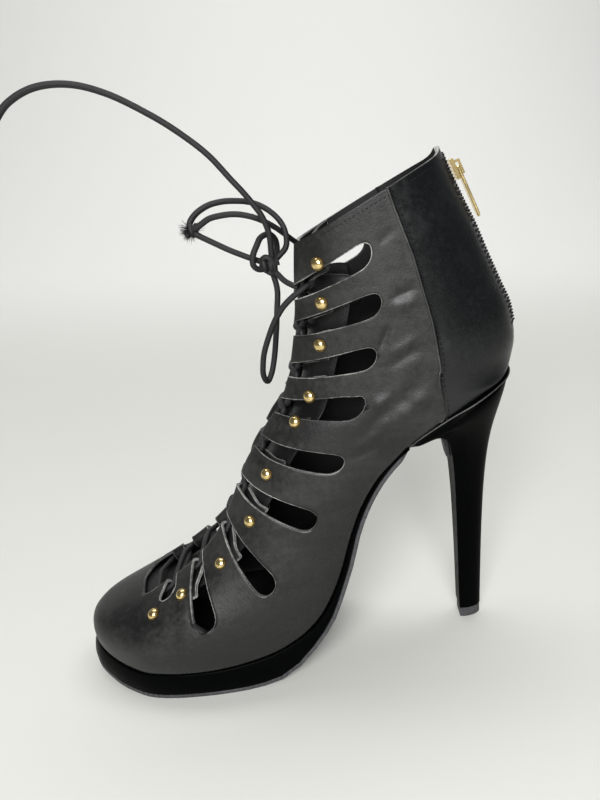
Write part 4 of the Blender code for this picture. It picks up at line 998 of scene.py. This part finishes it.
def tongue_point(row, across, depth=0.0):
    """A point of the tongue's face: row along it, and across from -1 to 1."""
    place = min(max(row, 0), len(TONGUE_ROWS) - 1)
    values = [float(np.interp(place, range(len(TONGUE_ROWS)), [r[c] for r in TONGUE_ROWS])) for c in range(3)]
    u, half, sunk = values[0], values[1] * TAB_REACH, values[2]
    side, share = (OUTER, across) if across >= 0 else (INNER, -across)
    distance = half * share
    sink = TONGUE_DEPTH + (TONGUE_SIDE_DEPTH - TONGUE_DEPTH) * smooth((distance / TAB_REACH - .72) / .4)
    rise = TONGUE_TOP * smooth(place - len(TONGUE_ROWS) + 2)
    return face_point(u + rise * (1 - share ** 2), side, distance, sink * sunk + depth)


def make_tongue():
    bm = bmesh.new()
    shares = [-share for share in TONGUE_SHARES[:0:-1]] + [*TONGUE_SHARES]
    count = (len(TONGUE_ROWS) - 1) * 2

    def place(i, k):
        hem = abs(shares[k]) >= .9 or i > count - 1
        return tongue_point(i / 2, shares[k], -TONGUE_HEM if hem else 0)
    patch(bm, count, len(shares) - 1, place)
    piece = finish_mesh("tongue_leather", bm, [TONGUE_LEATHER, EDGE, LINING], 0)
    softened(piece, 1)
    wall = piece.modifiers.new("wall", "SOLIDIFY")
    wall.thickness, wall.offset = TONGUE - TONGUE_HEM, -1
    wall.material_offset, wall.material_offset_rim = 2, 0
    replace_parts(piece, "tongue")


make_tongue()


# Sole and insole

def make_layer(name, node, material, inset, top, bottom, places, bevel, bulge=0.0, floor=-1.0, tail=()):
    """A layer of the sole from rings round it, closed at both ends."""
    rings = []
    for u in places:
        high, low = top(u), bottom(u)
        ring = []
        for side in (OUTER, INNER):
            edge = [(inset + bevel, high), (inset + bevel * .3, high + bevel * .3), (inset, high + bevel),
                    (inset - bulge, (high + low) / 2), (inset, low - bevel), (inset + bevel * .3, low - bevel * .3),
                    (inset + bevel, low)]
            for move, depth in edge if side == OUTER else edge[::-1]:
                point = rim_point(u, side, move, depth)
                point[2] = max(point[2], floor + (low - depth))
                ring.append(point)
        rings.append(ring)
    rings += list(tail)
    bm = bmesh.new()
    ring_stack(bm, rings)
    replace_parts(finish_mesh(name, bm, [material], 50), node)


def wing_place(clear):
    return float(np.interp(-HEEL_WING - clear, -KEEL_XZ[:, 0], KEEL_U))


HEEL_RINGS = (
    (.955, .976, .986, .9872, .982, 2.3), (.839, .935, .948, .981, .961, 2.3), (.639, .878, .887, .998, .937, 2.3),
    (.454, .805, .793, 1.004, .911, 2.3), (.301, .724, .662, .981, .882, 2.3), (.209, .610, .512, .934, .844, 2.3),
    (.145, .398, .343, .852, .775, 2.3), (.100, .236, .230, .748, .686, 2.3), (.068, .114, .141, .616, .559, 2.3),
    (.044, .049, .080, .455, .395, 2.4), (.020, .016, .038, .265, .220, 2.4), (.004, .000, .009, .095, .0745, 2.4),
)
RING_SHARES = (0, .04, .12, .2, .28, .37, .46, .55, .64, .72, .80, .86, .92, .96, .98, .995, 1)


def ring_of(place):
    """A ring of place(side, share) from the front, round by the outer side to the back, and back again."""
    outer, inner = ([place(side, share) for share in RING_SHARES] for side in (OUTER, INNER))
    return outer + inner[::-1][1:]


def d_ring(front_x, back_x, half, front_z, back_z, round_to):
    """A level section of the heel: flat in front, round behind."""
    def place(side, share):
        y = half * (1 - share ** round_to) ** (1 / round_to) * (.9 + .1 * min(1, share / .28))
        return np.array((front_x + (back_x - front_x) * share, y * side, front_z + (back_z - front_z) * share))
    return ring_of(place)


def seat_place(share):
    front = wing_place(0)
    return front + (SEAT_BACK - .02 - front) * (1 - (1 - share) ** 1.5)


def heel_rings():
    """The heel's sections, from the seat down to the top lift."""
    width = max(section_at(15.0)[4], section_at(15.0)[5])
    top = ring_of(lambda side, share: rim_point(seat_place(share), side, JOIN_INSET, JOIN_DEPTH))
    rings = [top]
    front_high, rear_high = top[0][2], top[len(RING_SHARES) - 1][2]
    back_seat = -top[len(RING_SHARES) - 1][0]
    tip_front = TIP_DEPTH - TIP_BACK
    for fore, back, wide, front, rear, round_to in HEEL_RINGS:
        rings.append(d_ring(tip_front + (HEEL_WING - tip_front) * fore, -(TIP_BACK + (back_seat - TIP_BACK) * back),
                            TIP_WIDTH / 2 + (width - TIP_WIDTH / 2) * wide, front * front_high, rear * rear_high,
                            round_to))
    rings.append(d_ring(tip_front, -TIP_BACK, TIP_WIDTH / 2, TOP_LIFT + GAP, TOP_LIFT + GAP, 2.4))
    return rings


HEEL = heel_rings()
FLAP_WIDTHS = (.80, .74, .68, .62, .57, .48, .34)


def flap_rings(count):
    """The outsole's end on the heel's underside and down its breast, with as many points as a sole ring."""
    rings = HEEL[1:len(FLAP_WIDTHS) + 3]
    fronts = [np.array([ring[0][0], ring[0][2]]) for ring in rings]
    out = []
    for n, share in enumerate(FLAP_WIDTHS):
        run = unit(fronts[n + 1] - fronts[max(n - 1, 0)])
        face = np.array([-run[1], run[0]])
        half = rings[n][1][1] * share
        ring = []
        for side in (OUTER, INNER):
            depths = [GAP + OUTSOLE * t for t in np.linspace(0, 1, count // 2)]
            for depth in depths if side == OUTER else depths[::-1]:
                x, z = fronts[n] + face * depth
                ring.append(np.array((x, half * side, z)))
        out.append(ring)
    return out


SOLE_PLACES = sorted({*np.arange(.12, 3, .19).tolist(), *np.arange(3, 12.6, .3).tolist(), 12.6, 12.9, 13.15})
make_layer("outsole_rubber", "outsole", SOLE, .6 * MM, lambda u: stack_at(u) - OUTSOLE, stack_at,
           SOLE_PLACES, .35 * MM, floor=0.0, tail=flap_rings(14))
make_layer("platform_cover", "platform", COVER, 0.0, lambda u: GAP,
           lambda u: stack_at(u) - OUTSOLE - GAP, SOLE_PLACES + [wing_place(1.3 * MM)], .7 * MM, .3 * MM,
           OUTSOLE + GAP)
make_layer("insole_sock", "insole", LINING, FEATHER_INSET + WALL + INSOLE_CLEAR,
           lambda u: -GAP - INSOLE, lambda u: -GAP, np.linspace(.6, 18.2, 60).tolist(), .3 * MM)


def seat_ring():
    """The cover's top edge, a little way up the leather."""
    def place(side, share):
        u = seat_place(share)
        return face_point(u, side, girth(u, side) - SEAT_RISE, SEAT_SUNK)
    return ring_of(place)


def make_heel():
    bm = bmesh.new()
    rings = [seat_ring()] + HEEL
    count = len(rings[0])
    spots = ring_stack(bm, rings, capped=False)
    half = len(RING_SHARES) - 1
    for end in (0, len(rings) - 1):
        for k in range(half):
            corners = [k, k + 1, count - k - 1] if k == half - 1 else [k, k + 1, count - k - 2, count - k - 1]
            bm.faces.new([spots[(end, corner)] for corner in corners])
    crease = bm.edges.layers.float.new("crease_edge")
    ring_creases = {0: 1, 1: .6, len(rings) - 1: 1}
    for (i, k), corner in spots.items():
        for edge in corner.link_edges if k < count else ():
            ends = set(edge.verts)
            if i in ring_creases and ends == {corner, spots[(i, (k + 1) % count)]}:
                edge[crease] = ring_creases[i]
            if k in (0, count - 1) and i + 1 < len(rings) and ends == {corner, spots[(i + 1, k)]}:
                edge[crease] = .75
    piece = finish_mesh("heel_covered", bm, [COVER], 50)
    softened(piece, 2)
    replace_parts(piece, "heel")


def make_top_lift():
    bm = bmesh.new()
    front, back, half = TIP_DEPTH - TIP_BACK - .6 * MM, -TIP_BACK + .3 * MM, TIP_WIDTH / 2 - .3 * MM
    heights = ((TOP_LIFT, .97), (TOP_LIFT - .2 * MM, 1), (.3 * MM, 1), (0, .95))
    ring_stack(bm, [d_ring(front * s, back * s, half * s, z, z, 2.4) for z, s in heights])
    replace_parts(finish_mesh("top_lift_rubber", bm, [SOLE], 40), "top_lift")


make_heel()
make_top_lift()


# Rivets

def on_face(point, normal, reach=6 * MM):
    """Where a line along a normal meets the upper's face."""
    hit = FACE.ray_cast(Vector(point + normal * reach), Vector(-normal), 2 * reach)
    return (np.array(hit[0]), np.array(hit[1])) if hit[0] else (point, normal)


def turned(bm, profile, sides, matrix):
    """A turned body: a profile of (radius, height) spun about its axis."""
    edge = [bm.verts.new((r, 0, z)) for r, z in profile]
    lines = [bm.edges.new(pair) for pair in zip(edge, edge[1:])]
    made = bmesh.ops.spin(bm, geom=edge + lines, cent=(0, 0, 0), axis=(0, 0, 1), angle=math.tau, steps=sides,
                          use_merge=True)
    ends = {part for part in made["geom_last"] if isinstance(part, bmesh.types.BMVert)} | set(edge)
    faces = {f for v in ends for f in v.link_faces}
    grown = True
    while grown:
        more = {f for g in faces for v in g.verts for f in v.link_faces} - faces
        faces |= more
        grown = bool(more)
    verts = list({v for f in faces for v in f.verts})
    bmesh.ops.remove_doubles(bm, verts=verts, dist=.000005)
    verts = [v for v in verts if v.is_valid]
    bmesh.ops.transform(bm, matrix=matrix, verts=verts)
    return faces


def make_rivets():
    """A domed head with an aged rim on every tab."""
    r, h = RIVET_RADIUS, RIVET_HEIGHT
    dome_profile = [(0, h)] + [(r * .86 * math.sin(a), .18 * h + .82 * h * math.cos(a))
                               for a in np.linspace(.22, math.pi / 2, 7)] + [(r * .86, .1 * MM)]
    rim_profile = [(r * .86, .30 * h), (r * .94, .30 * h), (r, .14 * h), (r, -.2 * MM), (r * .8, -.2 * MM)]
    for number, (u, _, rivet) in enumerate(TABS, 1):
        for side, word in SIDES:
            normal = outward(u, side, rivet * TAB_REACH)
            foot, _ = on_face(skin(u, side, rivet * TAB_REACH), normal)
            matrix = Matrix.Translation(Vector(foot + normal * .1 * MM)) @ Vector(normal).to_track_quat(
                "Z", "Y").to_matrix().to_4x4()
            bm = bmesh.new()
            turned(bm, dome_profile, 24, matrix)
            for face in turned(bm, rim_profile, 24, matrix):
                if face.is_valid:
                    face.material_index = 1
            piece = finish_mesh(f"rivet_{word}_{number}_dome", bm, [GOLD, RIM_GOLD], 50, welded=0)
            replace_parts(piece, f"rivet_{word}_{number}")


make_rivets()


# Stitches

def stitch_row(name, points, normals, pitch, radius, share=.68):
    """Short raised stitches along a line on a surface, each a share of the pitch long."""
    run = run_of(points)
    bm = bmesh.new()
    for mark in np.arange(pitch / 2, run[-1] - pitch / 2, pitch):
        here, ahead = at_marks(mark, run, points), at_marks(mark + pitch / 4, run, points)
        along = Vector(ahead - here).normalized()
        out = Vector(at_marks(mark, run, normals)).normalized()
        side = along.cross(out).normalized()
        out = side.cross(along)
        turn = Matrix((along, side, out)).transposed().to_4x4()
        size = Matrix.Diagonal((pitch * share / 2, radius, radius * .8, 1))
        bmesh.ops.create_icosphere(bm, subdivisions=1, radius=1.0,
                                   matrix=Matrix.Translation(Vector(here) + out * radius * .25) @ turn @ size)
    finish_mesh(name, bm, [THREAD], 0, welded=0)


def upper_line(side, spots, lift=0.0):
    """Points and normals on the upper's face at pairs of place and distance."""
    normals = [outward(u, side, distance) for u, distance in spots]
    points = [on_face(skin(u, side, distance), normal)[0] + normal * lift
              for (u, distance), normal in zip(spots, normals)]
    return points, normals


def edge_roll(name, points, radius):
    """A thin rolled edge along a line of points, in the lighter seam leather: a painted highlight along the edge."""
    bm = bmesh.new()
    tube(bm, curve_through(points, .8 * MM)[0], radius, 8)
    finish_mesh(name, bm, [SEAM_FOLD_HIGHLIGHT], 0)


def seam_line(side, shift, lift=0.0):
    """Points and normals along the counter's seam, moved across it by shift."""
    rows = [row[SEAM_ROW] for line, row, behind in zip(LINES, ROWS[side], BEHIND_SEAM) if behind and not line["edge"]]
    points, normals = upper_line(side, [(u, distance + shift) for u, distance in rows], lift)
    points = curve_through(points, 1.2 * MM)[0]
    return points, at_marks(np.linspace(0, len(normals) - 1, len(points)), range(len(normals)), normals)


def make_stitches():
    """The seam's raised fold, lighter as a painted highlight, and the stitches beside it, at the collar, by the zip
    and on the tongue's hem.
    """
    bold = 2.4 * MM, .46 * MM, .72
    for side, word in SIDES:
        edge_roll(f"seam_fold_{word}", seam_line(side, -.3 * MM)[0], .5 * MM)
        stitch_row(f"stitches_seam_{word}", *seam_line(side, 1.9 * MM, .08 * MM), 2.3 * MM, *bold[1:])
        top = COLLAR - .33
        spots = [(top, distance) for distance in np.linspace(16 * MM, girth(top, side) - 6 * MM, 60)]
        stitch_row(f"stitches_collar_{word}", *upper_line(side, spots), 1.9 * MM, .2 * MM)
        for row, off in ((1, 5.0 * MM), (2, 8.0 * MM)):
            spots = [(u, girth(u, side) - off) for u in np.linspace(ZIP_END + .2, COLLAR - .1, 50)]
            stitch_row(f"stitches_zip_{word}_{row}", *upper_line(side, spots), *bold)
        for row, share in ((1, .965), (2, .925)):
            spots = np.linspace(2.2, len(TONGUE_ROWS) - 1.2, 150)
            points = [tongue_point(s, share * side, -TONGUE_HEM) for s in spots]
            normals = [points[k] - tongue_point(s, share * side, MM) for k, s in enumerate(spots)]
            stitch_row(f"stitches_tongue_{word}_{row}", points, normals, 2.0 * MM, .2 * MM)


make_stitches()
# The heel join line in the lighter seam leather: a painted highlight along the join
edge_roll("heel_join_highlight_edge", HEEL[0], .32 * MM)


# Zip
TOOTH, TOOTH_PITCH = (1.15 * MM, .42 * MM, .62 * MM), 1.45 * MM


def make_zip():
    """The woven tape in the slot, and the closed teeth down its middle."""
    bm = bmesh.new()
    places = np.linspace(ZIP_END + .2, COLLAR, 40)
    half = ZIP_SLOT / 2 - .1 * MM

    def strip(i, k):
        point, out, up = back_frame(places[i])
        return point + np.array((0, (k / 4 - .5) * 2 * half, 0)) - out * (COUNTER_STEP + .25 * MM)
    patch(bm, len(places) - 1, 4, strip)
    tape = finish_mesh("zip_tape_woven", bm, [TAPE], 0)
    wall = tape.modifiers.new("wall", "SOLIDIFY")
    wall.thickness = .5 * MM
    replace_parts(tape, "zip_tape")
    bm = bmesh.new()
    run = run_of([back_frame(u)[0] for u in places])
    for n, mark in enumerate(np.arange(.4 * MM, run[-1] - .2 * MM, TOOTH_PITCH / 2)):
        u = float(np.interp(mark, run, places))
        point, out, up = back_frame(u)
        side = 1 if n % 2 else -1
        turn = Matrix((Vector((0, 1, 0)), Vector(up), Vector(out))).transposed().to_4x4()
        size = Matrix.Diagonal((*TOOTH, 1))
        centre = point + out * (.55 * MM - COUNTER_STEP) + np.array((0, side * .75 * MM, 0))
        bmesh.ops.create_uvsphere(bm, u_segments=8, v_segments=6, radius=1.0,
                                  matrix=Matrix.Translation(Vector(centre)) @ turn @ size)
    teeth = finish_mesh("zip_teeth_beads", bm, [TEETH], 0, welded=0)
    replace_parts(teeth, "zip_teeth")


def round_copy(node, name, body):
    """A merged copy of a gold solid with softly rounded edges."""
    bm = bmesh.new()
    bm.from_mesh(NODES[node].data)
    bmesh.ops.remove_doubles(bm, verts=bm.verts, dist=.00001)
    bmesh.ops.dissolve_limit(bm, angle_limit=math.radians(2), verts=bm.verts, edges=bm.edges)
    mesh = bpy.data.meshes.new(name)
    bm.to_mesh(mesh)
    bm.free()
    mesh.materials.append(GOLD)
    piece = linked(name, mesh)
    edge = piece.modifiers.new("edge", "BEVEL")
    edge.width, edge.segments, edge.limit_method = .3 * MM, 3, "ANGLE"
    mesh.shade_smooth()
    mesh.set_sharp_from_angle(angle=math.radians(35))
    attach(piece, body)
    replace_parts(piece, node)


make_zip()
round_copy("zip_slider", "zip_slider_polished", SHOE)
round_copy("zip_pull", "zip_pull_polished", PULL)


# Laced strands through the tab folds
CROSS_DEPTHS = (5.5 * MM, 2.5 * MM)
CROSS_AT, STRAND_TOP, STRAND_END, FRONT_TURN, LOOP_SLACK = 5 * MM, .35, 4.75, 4.55, .5 * MM


def loop_point(u, side):
    fold = tab_value(u, 1)
    return skin(u, side, fold + LOOP_SLACK) - outward(u, side, fold) * TAB_LOOP


def strand_turn(number, side):
    place = SLITS[number][0]
    return walk(place, side, SLIT_REACH / 4, SLIT_MOUTH * .22) - place


def lace_strand(first):
    """One strand's way down through the folds, crossing at every slit."""
    points, side = [], first
    for number, tab in enumerate(TABS):
        top = COLLAR - STRAND_TOP if number == 0 else SLITS[number - 1][0] - strand_turn(number - 1, side)
        low = SLITS[number][0] + strand_turn(number, side) if number < len(TABS) - 1 else STRAND_END
        start = tab[0] if number == 0 else top
        points += [loop_point(start + (low - start) * t, side) for t in np.linspace(0, 1, 6 if number == 4 else 4)]
        if number < len(TABS) - 1:
            depth = CROSS_DEPTHS[(number + (first == INNER)) % 2]
            middle = SLITS[number][0]
            points += [face_point(middle, way, CROSS_AT, depth) for way in (side, -side)]
        side = -side
    return points


def rounded(points, step):
    """The polyline's corners rounded a little, with points a step apart."""
    run = run_of(points)
    fine = at_marks(np.linspace(0, run[-1], int(run[-1] / step)), run, points)
    for _ in range(5):
        fine[1:-1] = (fine[:-2] + 2 * fine[1:-1] + fine[2:]) / 4
    return fine


def make_crossings():
    front = face_point(FRONT_TURN, OUTER, 0, .8 * TAB_LOOP)
    bm = bmesh.new()
    tube(bm, rounded(lace_strand(OUTER) + [front] + lace_strand(INNER)[::-1], .9 * MM), LACE / 2, 10)
    piece = finish_mesh("lace_crossings_braid", bm, [CORD], 0)
    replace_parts(piece, "lace_crossings")


make_crossings()


# Stage, light and the room round it

def make_stage():
    """A plain floor that sweeps up into the backdrop."""
    sweep = bmesh.new()
    start, bend = -1.0, 1.6

    def place(i, k):
        if k <= 4:
            y, z = 3 + (start - 3) * k / 4, 0
        elif k <= 20:
            turn = (k - 4) / 16 * math.pi / 2
            y, z = start - bend * math.sin(turn), bend * (1 - math.cos(turn))
        else:
            y, z = start - bend, bend + (k - 20) * 1.0
        return (-4 + 8 * i / 2, y, z)
    patch(sweep, 2, 23, place)
    mesh = bpy.data.meshes.new("floor")
    sweep.to_mesh(mesh)
    sweep.free()
    mesh.shade_smooth()
    plain = Finish("floor_plain", Roughness=.6, Specular_IOR_Level=.2)
    spot = plain.place()
    near = plain.blend(plain.noise(spot, 3, 2), (.61, .61, .575), (.63, .63, .595))
    far = (plain.axis(spot, "Y") * -1 - .35).clamp(0, 1)
    plain.feed("Base Color", plain.blend(far, near, (.83, .83, .80)))
    mesh.materials.append(plain.material)
    linked("floor", mesh)


def lamp(name, place, aim, size, power):
    """A rectangular lamp turned towards its aim."""
    light = bpy.data.lights.new(name, "AREA")
    light.shape = "RECTANGLE"
    light.size, light.size_y = size
    light.energy = power
    made = linked(name, light)
    made.location = place
    made.rotation_euler = (Vector(aim) - Vector(place)).to_track_quat("-Z", "Y").to_euler()


def make_lights():
    """Soft studio light: a key from the front, a dim top, and one on the backdrop."""
    world = bpy.context.scene.world or bpy.data.worlds.new("world")
    bpy.context.scene.world = world
    world.use_nodes = True
    back = world.node_tree.nodes["Background"]
    back.inputs["Color"].default_value = (.93, .95, .96, 1)
    back.inputs["Strength"].default_value = .15
    middle = (.06, 0, .1)
    lamp("key", (.20, 1.14, .78), middle, (.75, .75), 25)
    lamp("top", (.1, .1, 2.0), middle, (1.8, 1.8), 3)
    lamp("backdrop", (.06, -.7, 2.2), (.06, -1.9, .1), (2.6, .9), 38)


make_stage()
make_lights()
bpy.context.scene.view_settings.view_transform = "Standard"
